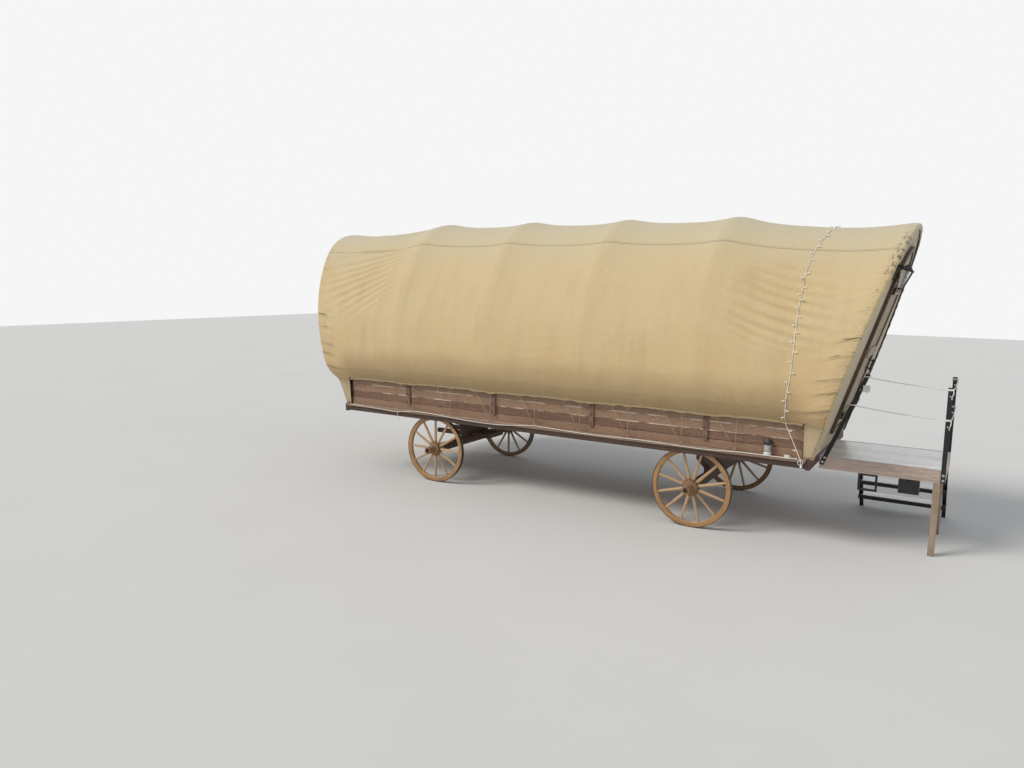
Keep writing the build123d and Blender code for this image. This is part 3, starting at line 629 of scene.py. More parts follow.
paint(make_wood("bow_wood", (0.50, 0.36, 0.21), (0.34, 0.22, 0.115), along=1, roughness=0.5), "bows")
paint(make_wood("casing_wood", (0.125, 0.080, 0.045), (0.060, 0.036, 0.021), along=2, coat=0.1),
      "door_casing")
paint(make_wood("door_wood", (0.40, 0.30, 0.175), (0.28, 0.195, 0.105), along=2, roughness=0.5,
                boards=(1, -door_half_width, door_board, 0.004), joint=((0.13, 0.08, 0.045), 0.8)), "door")
# The deck's near-white, faintly blue colour is the boards' own light grey raised with painted sky glare.
paint(make_wood("deck_wood", (0.86, 0.87, 0.88), (0.67, 0.675, 0.68),
                boards=(1, -deck_half_width, deck_board, 0.0045), joint=((0.16, 0.14, 0.13), 0.85),
                dust=((0.88, 0.885, 0.89), 0.5), roughness=0.42, coat=0.9, contrast=1.3), "porch_deck")
paint(make_wood("porch_timber", (0.64, 0.505, 0.425), (0.46, 0.345, 0.28), dust=((0.84, 0.84, 0.84), 0.85),
                damp_top=0.2), "porch_frame")
paint(make_wood("leg_wood", (0.46, 0.345, 0.255), (0.29, 0.205, 0.145), along=2, damp_top=0.25), "porch_legs")
paint(make_wood("tread_wood", (0.82, 0.83, 0.83), (0.65, 0.65, 0.65), dust=((0.86, 0.86, 0.86), 0.5),
                roughness=0.46, coat=0.7), "step_treads")
print("materials so far:", len(bpy.data.materials))

# %% [markdown]
# ## Varnished wheels
#
# A wheel is three kinds of wood work. The felloes' grain follows the rim, the spokes' runs outwards, and the
# nave was turned on its axle. The group takes a place counted from the hub and picks the right direction by
# radius, so one varnish serves all four wheels; the far pair's colours are darkened with painted shade. It
# also marks the joints between the felloes.

# %% Build the wheel grain group and the varnish
felloe_depth = 0.054
tyre_thickness = 0.008
nave_radius = 0.082
felloe_angle = radians(60)
first_joints = {"front": radians(15), "rear": radians(30)}
near_varnish = ((0.33, 0.155, 0.050), (0.51, 0.285, 0.108))
# The far wheels' colours are the near ones darkened: painted shade, as they stand under the wagon.
far_varnish_painted_shade = ((0.19, 0.09, 0.035), (0.33, 0.18, 0.07))


def wooden_radius(name):
    """A wheel's radius inside its tyre."""
    low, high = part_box(f"tyre_{name}")
    return (high.z - low.z) / 2 - tyre_thickness


def build_wheel_grain():
    """Picks the grain's place by radius, and marks joints and corners.

    The place is (angle * radius, radius, y) at the rim, (radius, y, angle) on the spokes and (y, x, z) at
    the nave.
    """
    given, result = new_group("wheel_grain", ("Streaks", "Pores", "Height", "Joint", "Corner"),
                              Place=None, Rim=0.4, First=0.0)
    x, y, z = split(given["Place"])
    radius = hypotenuse(x, z)
    angle = maths("ARCTAN2", z, x)
    on_rim = maths("GREATER_THAN", radius, given["Rim"])
    on_nave = maths("LESS_THAN", radius, nave_radius)
    outer = mixed_vectors(on_rim, joined(radius, y, angle * 0.6), joined(angle * radius, radius, y))
    place = mixed_vectors(on_nave, outer, joined(y, x, z))
    grain = use_group("wood_grain", Place=place, Scale=20.0, Stretch=0.12)
    part = maths("FRACT", (angle - given["First"]) / felloe_angle)
    joint = ranged(maths("MINIMUM", part, 1.0 - part), 0.006, 0.002) * on_rim
    near_nave = ranged(radius, 0.125, 0.08)
    near_rim = ranged(radius, given["Rim"] - 0.03, given["Rim"]) * (1.0 - on_rim)
    wire(result, {**grain, "Joint": joint, "Corner": maths("MAXIMUM", near_nave, near_rim)})


build_wheel_grain()


def make_varnish(name):
    """Honey varnish over grain that follows the wheel, darker in joints, corners and towards the ground."""
    rim_start = wooden_radius(name) - felloe_depth
    first_joint = first_joints[name.split("_")[0]]
    material, tree, shader = new_material(f"varnish_{name}", 0.38,
                                          {"Coat Weight": 0.3, "Coat Roughness": 0.22})
    place = object_place(tree)
    x, y, z = (part - centre for part, centre in zip(split(place), hubs[name]))
    radius = hypotenuse(x, z)
    grain = use_group("wheel_grain", Place=joined(x, y, z), Rim=rim_start, First=first_joint)
    sky = use_group("weather", Place=place, Top=0.16)
    spoke = ranged(radius, 0.095, 0.125) * ranged(radius, rim_start + 0.004, rim_start - 0.012)
    # Near wheels take the plain varnish; far wheels take its copy darkened with painted shade.
    colour = mixed(grain["Streaks"], *(near_varnish if hubs[name][1] < 0 else far_varnish_painted_shade))
    colour = shaded(colour, ranged(grain["Pores"], 0.0, 1.0, 0.86, 1.08))
    for mask, amount, tone in ((grain["Corner"], 0.6, (0.15, 0.062, 0.024)),
                               (grain["Joint"], 0.85, (0.09, 0.042, 0.018)),
                               (spoke, 0.34, (0.66, 0.50, 0.32)),
                               (sky["Damp"], 0.55, (0.14, 0.085, 0.05)),
                               (sky["Dust"], 0.3, (0.52, 0.42, 0.30))):
        colour = mixed(mask * amount, colour, tone)
    wire(shader, {"Base Color": colour, "Roughness": sky["Mottle"] * 0.3 + 0.24,
                  "Normal": bumped(grain["Height"], 0.0008, 0.4)})
    return material


for name in wheel_names:
    paint(make_varnish(name), f"wheel_{name}")
print("wheels varnished:", len(wheel_names))

# %% [markdown]
# ## Iron, steel, plastic and glass
#
# The tyres are bare steel, polished where they roll and brown with rust elsewhere. Hinges, posts and the
# steps' frame are black paint or powder coat, which takes a film of dust. A noise moves colour and
# roughness together, as rust does on metal, and as dust and wiping do on glass.

# %% Make the steels
def make_steel(name, clean, rusty, rust_share, metal, roughness, scale=16.0):
    """Clean metal or paint with rust where a noise passes a level; rust is rougher and not metallic."""
    material, tree, shader = new_material(name, roughness)
    place = object_place(tree)
    spots = noise(place, scale, 6.0, 0.68, 0.3)
    level = 0.5 * (1.0 - rust_share)
    rust = ranged(spots, 0.25 + level, 0.42 + level)
    dust = use_group("weather", Place=place)["Dust"]
    wire(shader, {"Base Color": mixed(dust * 0.18, mixed(rust, clean, rusty), (0.34, 0.31, 0.28)),
                  "Metallic": (1.0 - rust) * metal if metal else 0.0, "Roughness": rust * 0.35 + roughness,
                  "Normal": bumped(spots, 0.0006, 0.5)})
    return material


tyre_steel = make_steel("tyre_steel", (0.085, 0.078, 0.072), (0.115, 0.060, 0.032), 0.55, 0.75, 0.42)
black_steel = make_steel("black_steel", (0.0055, 0.005, 0.0052), (0.035, 0.023, 0.017), 0.2, 0.0, 0.52, 30.0)
worn_steel = make_steel("worn_steel", (0.19, 0.18, 0.17), (0.15, 0.085, 0.045), 0.4, 0.9, 0.35, 40.0)
brown_bolt = make_steel("painted_steel", (0.105, 0.062, 0.043), (0.075, 0.040, 0.027), 0.3, 0.0, 0.55, 40.0)
bright_bolt = make_steel("zinc_steel", (0.46, 0.46, 0.45), (0.26, 0.20, 0.15), 0.2, 0.9, 0.34, 60.0)


# %% Make plastic and glass
def make_plastic(name, colour, roughness):
    """Moulded plastic: one colour with a faint bloom of dust and a fine orange-peel bump."""
    material, tree, shader = new_material(name, roughness)
    place = object_place(tree)
    dust = use_group("weather", Place=place)["Dust"]
    wire(shader, {"Base Color": mixed(dust * 0.3, colour, (0.36, 0.34, 0.31)),
                  "Normal": bumped(noise(place, 420.0, 2.0), 0.0003, 0.35)})
    return material


def make_glass(name, clear, smeared, roughness):
    """Glass or clear plastic: a noise moves its tint and its roughness together, as dust and wiping do."""
    material, tree, shader = new_material(name, roughness, {"Transmission Weight": 0.92, "IOR": 1.45})
    film = ranged(noise(object_place(tree), 38.0, 4.0, 0.6), 0.35, 0.7)
    wire(shader, {"Base Color": mixed(film, clear, smeared), "Roughness": film * 0.12 + roughness})
    return material


black_plastic = make_plastic("black_plastic", (0.022, 0.022, 0.023), 0.42)
white_plastic = make_plastic("white_plastic", (0.74, 0.74, 0.71), 0.35)
lantern_glass = make_glass("lantern_glass_clear", (0.93, 0.94, 0.92), (0.80, 0.80, 0.76), 0.05)

paint(tyre_steel, *(f"tyre_{name}" for name in wheel_names))
paint(black_steel, "turntable_lower", "turntable_upper", "hinge_pins", "hinge_straps", "door_handle",
      "lantern_cage", "rail_posts_outer", "rail_post_inner", "steps_frame", "hanger_bracket")
paint(worn_steel, "front_axle_arms", "rear_axle_arms", "king_pin")
paint(black_plastic, "switch_box")
paint(lantern_glass, "lantern_glass")
print("model painted")

# %% [markdown]
# ## The cover's section
#
# The cover's outline is made of arcs that meet without a corner: a round crown, a flatter side, and a
# small arc that turns the hem in under the side. At the two ends a straight flank carries on down from the
# hem to the bed. A place on it is given by one number, the length along the cloth from the crown. Cloth
# keeps its length when it folds, so lengths along it are the right way to say where a seam or a tie sits.

# %% Describe the section by length from the crown
bow_base = 0.950
crown_rise = 2.688
crown_radius = 0.950
crown_angle = radians(47)
side_radius = 2.350
turn_radius = 0.330
turn_rise = 0.730
hem_rise = 0.432
flank_foot = (1.078, 0.038)

side_y = (crown_radius - side_radius) * sin(crown_angle)
side_rise = crown_rise - crown_radius + (crown_radius - side_radius) * cos(crown_angle)
side_angle = pi / 2 - asin((turn_rise - side_rise) / side_radius)
turn_y = side_y + (side_radius - turn_radius) * sin(side_angle)
turn_centre_rise = side_rise + (side_radius - turn_radius) * cos(side_angle)
hem_angle = pi / 2 - asin((hem_rise - turn_centre_rise) / turn_radius)
crown_length = crown_radius * crown_angle
side_end = crown_length + side_radius * (side_angle - crown_angle)
half_girth = side_end + turn_radius * (hem_angle - side_angle)
hem_y = turn_y + turn_radius * sin(hem_angle)
flank_length = np.hypot(hem_y - flank_foot[0], hem_rise - flank_foot[1])


def section_at(reach):
    """Half the section: y and rise at a length from the crown, and the two parts of the outward direction.

    On an arc of radius R from angle a0 at length s0, the angle from straight up is a0 + (s - s0) / R, and the
    point is the arc's centre + R (sin, cos). Past the hem it runs straight to the flank's foot.
    """
    on_crown = reach < crown_length
    on_side = reach < side_end
    angle = np.where(on_crown, reach / crown_radius,
                     np.where(on_side, crown_angle + (reach - crown_length) / side_radius,
                              side_angle + (np.minimum(reach, half_girth) - side_end) / turn_radius))
    radius = np.where(on_crown, crown_radius, np.where(on_side, side_radius, turn_radius))
    centre_y = np.where(on_crown, 0.0, np.where(on_side, side_y, turn_y))
    centre_rise = np.where(on_crown, crown_rise - crown_radius,
                           np.where(on_side, side_rise, turn_centre_rise))
    past = np.clip((reach - half_girth) / flank_length, 0, 1)
    y = centre_y + radius * np.sin(angle) + past * (flank_foot[0] - hem_y)
    rise = centre_rise + radius * np.cos(angle) + past * (flank_foot[1] - hem_rise)
    on_flank = past > 0
    out_y = np.where(on_flank, (hem_rise - flank_foot[1]) / flank_length, np.sin(angle))
    out_rise = np.where(on_flank, -(hem_y - flank_foot[0]) / flank_length, np.cos(angle))
    return y, rise, out_y, out_rise


print("half girth", round(half_girth, 3), "hem at y", round(hem_y, 3), "flank", round(flank_length, 3))

# %% [markdown]
# ## From the section to a surface
#
# Between the upright bows the section just slides along the wagon. Past the last upright bow the cloth is
# ruled to the leaning end bow: a point moves straight from the upright section to the same point of the
# leaning one. At the very end the cloth wraps round the end bow's edge, a small arc in the plane square to
# the bow.

# %% Place any point of the cloth
bow_places = (-2.145, -0.715, 0.715, 2.145)
bow_spacing = 1.430
last_bow = bow_places[-1]
end_bow = 3.280
end_lean = radians(17.2)
wrap_radius = 0.036
wrap_angle = radians(135)
gusset_d = 3.220
gusset_t = (gusset_d - last_bow) / (end_bow + hem_rise * sin(end_lean) - last_bow)


def bay_length(rise):
    """How far the cloth runs from the last upright bow to the end bow at a rise above the base."""
    return np.hypot(end_bow - last_bow + rise * sin(end_lean), rise * (1 - cos(end_lean)))


def cloth_points(side, reach, middle, t, wrap, end, lift):
    """Points of the cloth. side is -1 near or 1 far, reach the length from the crown.

    middle is the place between the upright bows, t runs from 0 at the last one to 1 at the end bow, wrap from
    0 to 1 round its edge, and end is -1 or 1. x = middle + end t (end bow + rise sin lean - last bow),
    z = base + rise (1 - t + t cos lean). Past the hem the flank's inner edge stands upright. lift moves the
    point outwards, square to the section.
    """
    y, rise, out_y, out_rise = section_at(reach)
    outer = end_bow + rise * sin(end_lean)
    along = t * (outer - last_bow)
    share = np.clip((t - gusset_t) / (1 - gusset_t), 0, 1)
    along = np.where(reach > half_girth, gusset_d - last_bow + share * (outer - gusset_d), along)
    height = rise * (1 - t + t * cos(end_lean))
    angle = wrap * wrap_angle
    over = wrap_radius * np.sin(angle) + lift * np.sin(angle)
    out = -wrap_radius * (1 - np.cos(angle)) + lift * np.cos(angle)
    tilt = end_lean * t
    x = middle + end * (along + out * out_rise * np.sin(tilt) + over * np.cos(tilt) * (t >= 1))
    z = bow_base + height + out * out_rise * np.cos(tilt) - over * np.sin(tilt) * (t >= 1)
    return np.stack([mid_x + x, side * (y + out * out_y), z], axis=-1)


print("cloth from the last bow to the end bow at the crown", round(float(bay_length(crown_rise)), 3))

# %% [markdown]
# ## Sag, folds and puckers
#
# Stretched canvas is never a plain roof. It hangs in a shallow trough between bows, it throws long soft
# folds where it is pulled towards a corner, it puckers where the edge is laced, and small fans spread from
# each tie. Each of these is one function of the place on the cloth, in metres, and the surface adds them
# up.

# %% Waves and ridges that the folds are made of
def soft_step(value, low, high):
    """0 below low, 1 above high, 3 u^2 - 2 u^3 between."""
    u = np.clip((value - low) / (high - low), 0, 1)
    return u * u * (3 - 2 * u)


def wander(place, length, seed, terms=4):
    """A slow irregular wave from -1 to 1: a mean of sines with lengths round the given one."""
    draw = np.random.default_rng(seed)
    lengths = length * draw.uniform(0.7, 1.7, terms)
    starts = draw.uniform(0, 2 * pi, terms)
    weights = draw.uniform(0.6, 1.0, terms)
    waves = np.sin(2 * pi * place[..., None] / lengths + starts) * weights
    return waves.sum(axis=-1) / weights.sum()


def ridges(place, spacing, seed, sharp=2.2):
    """Soft ridges about spacing apart, -0.4 in the troughs to 1 on the crests, bent by a slow wave."""
    bent = place / spacing + 0.55 * wander(place, spacing * 6, seed)
    crest = (0.5 + 0.5 * np.cos(2 * pi * bent)) ** sharp
    return 1.4 * crest - 0.4


# %% [markdown]
# The lacing sets where the hem is pulled: from each hook on the ledge a cord goes straight up to the hem
# and a second one leans forwards. The tie places below are lengths along the wagon from the bed's middle.

# %% Place the ties
hooks = np.array([-2.024, -1.383, -0.731, -0.061, 0.581, 1.221, 1.885, 2.508])
lean_ties = hooks - np.array([0.225, 0.235, 0.240, 0.230, 0.245, 0.225, 0.240, 0.235])
ties = np.sort(np.concatenate([hooks, lean_ties, [-2.62, -3.13, 3.05]]))
print("ties on each side:", len(ties), "from", ties[0], "to", ties[-1])


def hem_shift(along, reach):
    """How far the hem is drawn up between two ties: an arch 0.016 of their gap high, fading above the hem."""
    before = ties[np.clip(np.searchsorted(ties, along) - 1, 0, len(ties) - 2)]
    after = ties[np.clip(np.searchsorted(ties, along), 1, len(ties) - 1)]
    u = np.clip((along - before) / (after - before), 0, 1)
    height = 0.016 * np.minimum(after - before, 0.6)
    return height * 4 * u * (1 - u) * np.exp(-np.maximum(half_girth - reach, 0) / 0.15)


def tie_fans(along, reach):
    """Creases that spread upwards from each tie: cos(6 angle) fading over 0.10 m."""
    across = along[..., None] - ties
    above = np.maximum(half_girth - reach, 0)[..., None] + 0.012
    far = np.hypot(across, above)
    angle = np.arctan2(across, above)
    fans = np.cos(6 * angle) * np.exp(-far / 0.10) * soft_step(far, 0.0, 0.035)
    return fans.sum(axis=-1)


# %% Pinch the laced edge
edge_slant = tan(end_lean)
pucker_count = 26
pucker_draw = np.random.default_rng(5)
pucker_gaps = pucker_draw.uniform(0.062, 0.15, pucker_count)
pucker_places = 0.55 + np.cumsum(pucker_gaps)
pucker_widths = pucker_gaps * 0.27
pucker_heights = pucker_draw.uniform(0.55, 1.0, pucker_count)
pucker_reaches = pucker_draw.uniform(0.12, 0.34, pucker_count)
pucker_slants = edge_slant + 0.15 * pucker_draw.uniform(-1.0, 1.0, pucker_count)


def edge_puckers(reach, left, end):
    """Pinches along the laced end edge: bell-shaped ridges, each dying out over its own length from it."""
    shifted = reach[..., None] - pucker_slants * left[..., None] - pucker_places
    fading = np.exp(-left[..., None] / pucker_reaches)
    pinch = pucker_heights * np.exp(-(shifted / pucker_widths) ** 2) * fading
    on_side = soft_step(reach, 0.7, 1.4)
    strength = np.where(end > 0, 0.013, 0.009) * on_side * (0.3 + 0.7 * soft_step(left, 0.0, 0.09))
    return strength * pinch.sum(axis=-1) - 0.0055 * np.exp(-left / 0.10) * on_side


print("puckers", pucker_count, "to", round(float(pucker_places[-1]), 2))

# %% [markdown]
# Each kind of bay has folds of its own. Between the middle bows they are faint and run along the wagon.
# The rear bay is pulled towards the end bow, so long folds fall away from the last bow and flatten out.
# The front bay is looser, and its folds spread like a fan from the bow's shoulder down to the front
# corner. Towards the rear the cloth hangs slack over the hem, in short folds that slant down.

# %% Fold each bay in its own way
sag_middle = 0.055
sag_rear = 0.085
sag_front = 0.070
bow_half = 0.022


def middle_folds(reach, signed, place, slack):
    """Ridges of 3.5 mm along the sides and ripples of 2.2 mm over the crown."""
    folds = ridges(reach + 0.05 * place, 0.150, 11) * wander(place + 0.8 * reach, 1.1, 12)
    ripples = ridges(signed + 0.12 * place, 0.075, 14) * (0.5 + 0.5 * wander(place, 0.7, 15))
    return slack * (0.0035 * folds * soft_step(reach, 0.25, 0.7)
                    + 0.0022 * ripples * (1 - soft_step(reach, 0.5, 0.9)))


def rear_folds(reach, signed, run, slack):
    """Ridges of 44 mm that fall by 0.5 (1 - exp(-run / 0.75)), and ripples of 3.6 mm over the crown."""
    fallen = reach - 0.50 * (1 - np.exp(-run / 0.75))
    folds = ridges(fallen, 0.126, 21, 1.7) * (0.72 + 0.28 * wander(run + 1.3 * reach, 0.7, 22))
    share = soft_step(reach, 0.75, 1.15) * (1 - soft_step(reach, 1.7, 2.2))
    share = share * soft_step(run, 0.03, 0.34) * (1 - 0.9 * soft_step(run, 0.75, 1.45))
    ripples = ridges(signed + 0.05 * run, 0.062, 23)
    return 0.044 * folds * share + 0.0036 * slack * ripples * (1 - soft_step(reach, 0.55, 0.9))


def front_folds(reach, run, slack):
    """Ridges of 31 mm on (reach - 0.5) / (1 + 0.8 run), which spreads them like a fan."""
    spread = (reach - 0.5) / (1 + 0.8 * run)
    folds = ridges(spread, 0.078, 31, 2.2) * (0.75 + 0.25 * wander(run + reach, 0.5, 32))
    return 0.031 * folds * slack * (1 - soft_step(reach, 1.45, 2.1)) * soft_step(reach, 0.02, 0.35)


def low_folds(reach, signed, place, run, in_bay, tau):
    """Slanting folds of 12.5 mm near the rear, and soft upright waves of 2.7 mm from the pull of the ties."""
    slants = ridges(reach - 0.85 * place, 0.105, 61, 1.6) * (0.6 + 0.4 * wander(place, 0.6, 62))
    share = soft_step(reach, 2.25, 2.5) * (1 - soft_step(reach, 2.80, 2.95)) * soft_step(place, 1.2, 2.2)
    share = share * (1 - 0.8 * soft_step(run, 0.9, 1.3) * in_bay)
    waves = wander(place + 0.1 * signed, 0.34, 41, 5) * soft_step(reach, 1.8, 2.6)
    return 0.0125 * slants * share + 0.0027 * waves * np.where(in_bay, 0.4, 1.0) * np.clip(tau * 8, 0, 1)


def stand_off(side, reach, middle, t, end):
    """Metres outwards from the outline: the trough between bows, folds, puckers and fans, kept off the bows.

    The trough is depth (1 - |1 - 2 tau|^3), where tau runs from 0 at one bow to 1 at the next.
    """
    bay = bay_length(section_at(reach)[1])
    run = t * bay
    left = (1 - t) * bay
    in_bay = t > 0
    at_end = end > 0
    signed = side * reach
    place = middle + end * run
    nearest = np.abs(middle[..., None] - np.array(bow_places)).min(axis=-1)
    tau_middle = np.clip((nearest - bow_half) / (bow_spacing - 2 * bow_half), 0, 1)
    tau_bay = np.clip((run - bow_half) / (bay - 2 * bow_half), 0, 1)
    tau = np.where(in_bay, tau_bay, tau_middle)
    slack = np.sin(pi * tau) ** 0.8
    eased = np.hypot(np.minimum(tau, 1 - tau), 0.035) - 0.035
    depth = np.where(in_bay, np.where(at_end, sag_rear, sag_front), sag_middle)
    off = -depth * (1 - np.abs(1 - 2 * eased) ** 3) * (1 - 0.74 * soft_step(reach, 0.7, 2.0))
    off += np.where(in_bay, 0.0, middle_folds(reach, signed, place, slack))
    off += np.where(in_bay & at_end, rear_folds(reach, signed, run, slack), 0.0)
    off += np.where(in_bay & ~at_end, front_folds(reach, run, slack), 0.0)
    off += low_folds(reach, signed, place, run, in_bay, tau)
    off += edge_puckers(reach, left, end) * in_bay
    off += np.where(np.abs(place) < 3.3, 0.0105 * tie_fans(place, reach), 0.0)
    # Where the turned-in hem becomes the gusset, the cloth bridges the inner corner.
    share = np.clip((t - gusset_t) / (1 - gusset_t), 0, 1)
    off += 0.016 * soft_step(share, 0.0, 0.5) * np.exp(-((reach - half_girth) / 0.06) ** 2)
    end_room = 0.0095 + 0.6 * np.maximum(left - 0.03, 0)
    bow_room = 0.0042 + 0.6 * np.maximum(np.where(in_bay, run, nearest) - bow_half, 0)
    return np.maximum(off, -np.where(in_bay & (left < run), end_room, bow_room))


print("sag between the bows", sag_front, sag_middle, sag_rear)

# %% [markdown]
# ## The cover as one sheet
#
# One grid carries the whole cloth: rows run round the section, columns run from the front edge to the rear
# edge. Rows are close together on the sides, where the folds are fine. The rows below the hem exist only
# near the two ends, where the cover carries on down as a gusset. A Solidify modifier gives the cloth its 3
# mm inwards, away from what the eye sees.

# %% Lay out rows and columns
def signed_rows():
    """Lengths from the crown for each row, negative on the near side."""
    top = np.linspace(0, 0.8, 21)
    lower = np.linspace(0.8, half_girth, 100)[1:]
    flank = np.linspace(half_girth, half_girth + flank_length, 10)[1:]
    half = np.concatenate([top, lower, flank])
    return np.concatenate([-half[:0:-1], half])


def column_stations():
    """For each column: the place between the upright bows, t in an end bay, the wrap, and which end."""
    front_t = np.concatenate([np.linspace(0, gusset_t, 28)[1:], np.linspace(gusset_t, 1, 12)[1:]])
    rear_t = np.concatenate([np.linspace(0, gusset_t, 36)[1:], np.linspace(gusset_t, 1, 14)[1:]])
    wrap = np.linspace(0, 1, 7)[1:]
    middle = np.linspace(-last_bow, last_bow, 91)
    parts = [
        (-last_bow, 1.0, wrap[::-1], -1.0),
        (-last_bow, front_t[::-1], 0.0, -1.0),
        (middle, 0.0, 0.0, np.where(middle < 0, -1.0, 1.0)),
        (last_bow, rear_t, 0.0, 1.0),
        (last_bow, 1.0, wrap, 1.0),
    ]
    return np.concatenate([np.stack(np.broadcast_arrays(*part)) for part in parts], axis=1)


def dressed(side, reach, middle, t, wrap, end, lift=0.0):
    """Points of the cloth with its drawn hem and its folds, lifted outwards, and their lengths along it."""
    along = middle + end * t * bay_length(section_at(reach)[1])
    drawn = reach - hem_shift(along, reach) * (np.abs(along) < 3.2) * (reach <= half_girth)
    off = stand_off(side, drawn, middle, t, end) + lift
    return cloth_points(side, drawn, middle, t, wrap, end, off), along


def on_cloth(along, signed, lift=0.0):
    """The same points from the two lengths alone, the second one negative on the near side."""
    along, signed = np.broadcast_arrays(np.asarray(along, float), np.asarray(signed, float))
    reach = np.abs(signed)
    t = np.clip((np.abs(along) - last_bow) / bay_length(section_at(reach)[1]), 0, 1)
    return dressed(np.where(signed < 0, -1.0, 1.0), reach, np.clip(along, -last_bow, last_bow), t,
                   np.zeros_like(t), np.where(along < 0, -1.0, 1.0), lift)[0]


# %% Build the cover
def make_cover():
    """The grid without its rows below the hem away from the ends, and the cloth's own places on it."""
    stations = column_stations()
    signed = signed_rows()[:, None] * np.ones(stations.shape[1])
    reach = np.abs(signed)
    middle, t, wrap, end = (np.broadcast_to(values, reach.shape) for values in stations)
    points, along = dressed(np.where(signed < 0, -1.0, 1.0), reach, middle, t, wrap, end)
    flat = np.stack([along + end * wrap * wrap_angle * wrap_radius, signed], axis=-1)
    from_edge = np.where(t > 0, (1 - t) * bay_length(section_at(reach)[1]), 1.0)
    kept = (reach <= half_girth + 1e-9) | (t >= gusset_t - 1e-9)
    quads = grid_faces(*reach.shape)
    quads = quads[kept.ravel()[quads].all(axis=1)]
    used, faces = np.unique(quads, return_inverse=True)
    piece = mesh_piece("cover", points.reshape(-1, 3)[used], [faces.reshape(-1, 4)], "wagon")
    corners = np.empty(len(piece.data.loops), np.int32)
    piece.data.loops.foreach_get("vertex_index", corners)
    places = flat.reshape(-1, 2)[used][corners].astype(np.float32)
    piece.data.uv_layers.new(name="cloth").data.foreach_set("uv", places.ravel())
    edge_layer = piece.data.attributes.new("from_edge", "FLOAT", "POINT")
    edge_layer.data.foreach_set("value", from_edge.ravel()[used].astype(np.float32))
    return piece


cover = make_cover()
thicken = cover.modifiers.new("thickness", "SOLIDIFY")
thicken.thickness = 0.003
thicken.offset = -1
thicken.use_even_offset = False
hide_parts("canvas_cover")
print("cover:", len(cover.data.vertices), "points,", len(cover.data.polygons), "quads")

# %% [markdown]
# ## Canvas
#
# The cloth is paler on top and browner and darker below: partly sun bleaching, partly painted sky light on
# top and painted shade below. Its lap seams and a dark line above the hem follow the cloth's own flat
# place, so they bend with the folds. The cloth turning in above the hem, and a band beside each bow, carry
# painted shade. Worn pale lines show where it rubs on the bows. A plain weave and small creases sit in the
# bump, and a little sheen softens its edges.

# %% Draw the seams, the bow lines and the stain
lap_seam = 0.80
# The distance above the hem of a dark line round the cloth.
dark_line_above_hem = 0.235


def near_line(value, place, half_width):
    """1 at a place, 0 half a width away."""
    return ranged(abs(value - place), half_width, 0.0)


def worn_lines(colour, along, away, blotch):
    """A colour with a rub and painted shade beside each bow, the lap seam, and painted shade low down."""
    from_bow = abs(maths("FRACT", along / bow_spacing) - 0.5) * bow_spacing
    on_bows = ranged(abs(along), 2.4, 2.3)
    painted_under_shade = ranged(blotch * 0.22 + away, 2.46, 2.74) * ranged(abs(along), 3.35, 3.0)
    layers = (
        # Beside each bow: a faint pale rub on the bow, then a band of painted shade.
        (ranged(from_bow, 0.030, 0.012) * on_bows, 0.05, (0.72, 0.64, 0.46)),
        (ranged(from_bow, 0.13, 0.02) * on_bows, 0.08, (0.30, 0.22, 0.12)),
        (near_line(away, lap_seam - 0.018, 0.022), 0.22, (0.28, 0.21, 0.12)),
        (near_line(away, lap_seam, 0.0075), 0.75, (0.17, 0.12, 0.07)),
        (near_line(away, half_girth - dark_line_above_hem, 0.035), 0.14, (0.27, 0.18, 0.10)),
        # Painted shade on the cloth turning in above the hem.
        (painted_under_shade, 0.42, (0.25, 0.17, 0.085)),
        (ranged(away, half_girth - 0.04, half_girth + 0.02), 0.45, (0.46, 0.40, 0.30)),
    )
    for mask, amount, tone in layers:
        colour = mixed(mask * amount, colour, tone)
    return colour


# %% [markdown]
# The cord in the end's edge was pulled tight, and the cloth bunched where it caught. Those bunches are
# groups of fine creases square to the edge, and mould took hold between them near the crown, where they
# stay damp.

# %% Gather the ends
bunches = (1.88, 2.06, 2.31, 2.46, 2.67)
bunch_half = 0.055
eye_gap = 0.205
eye_inset_on_cloth = 0.035


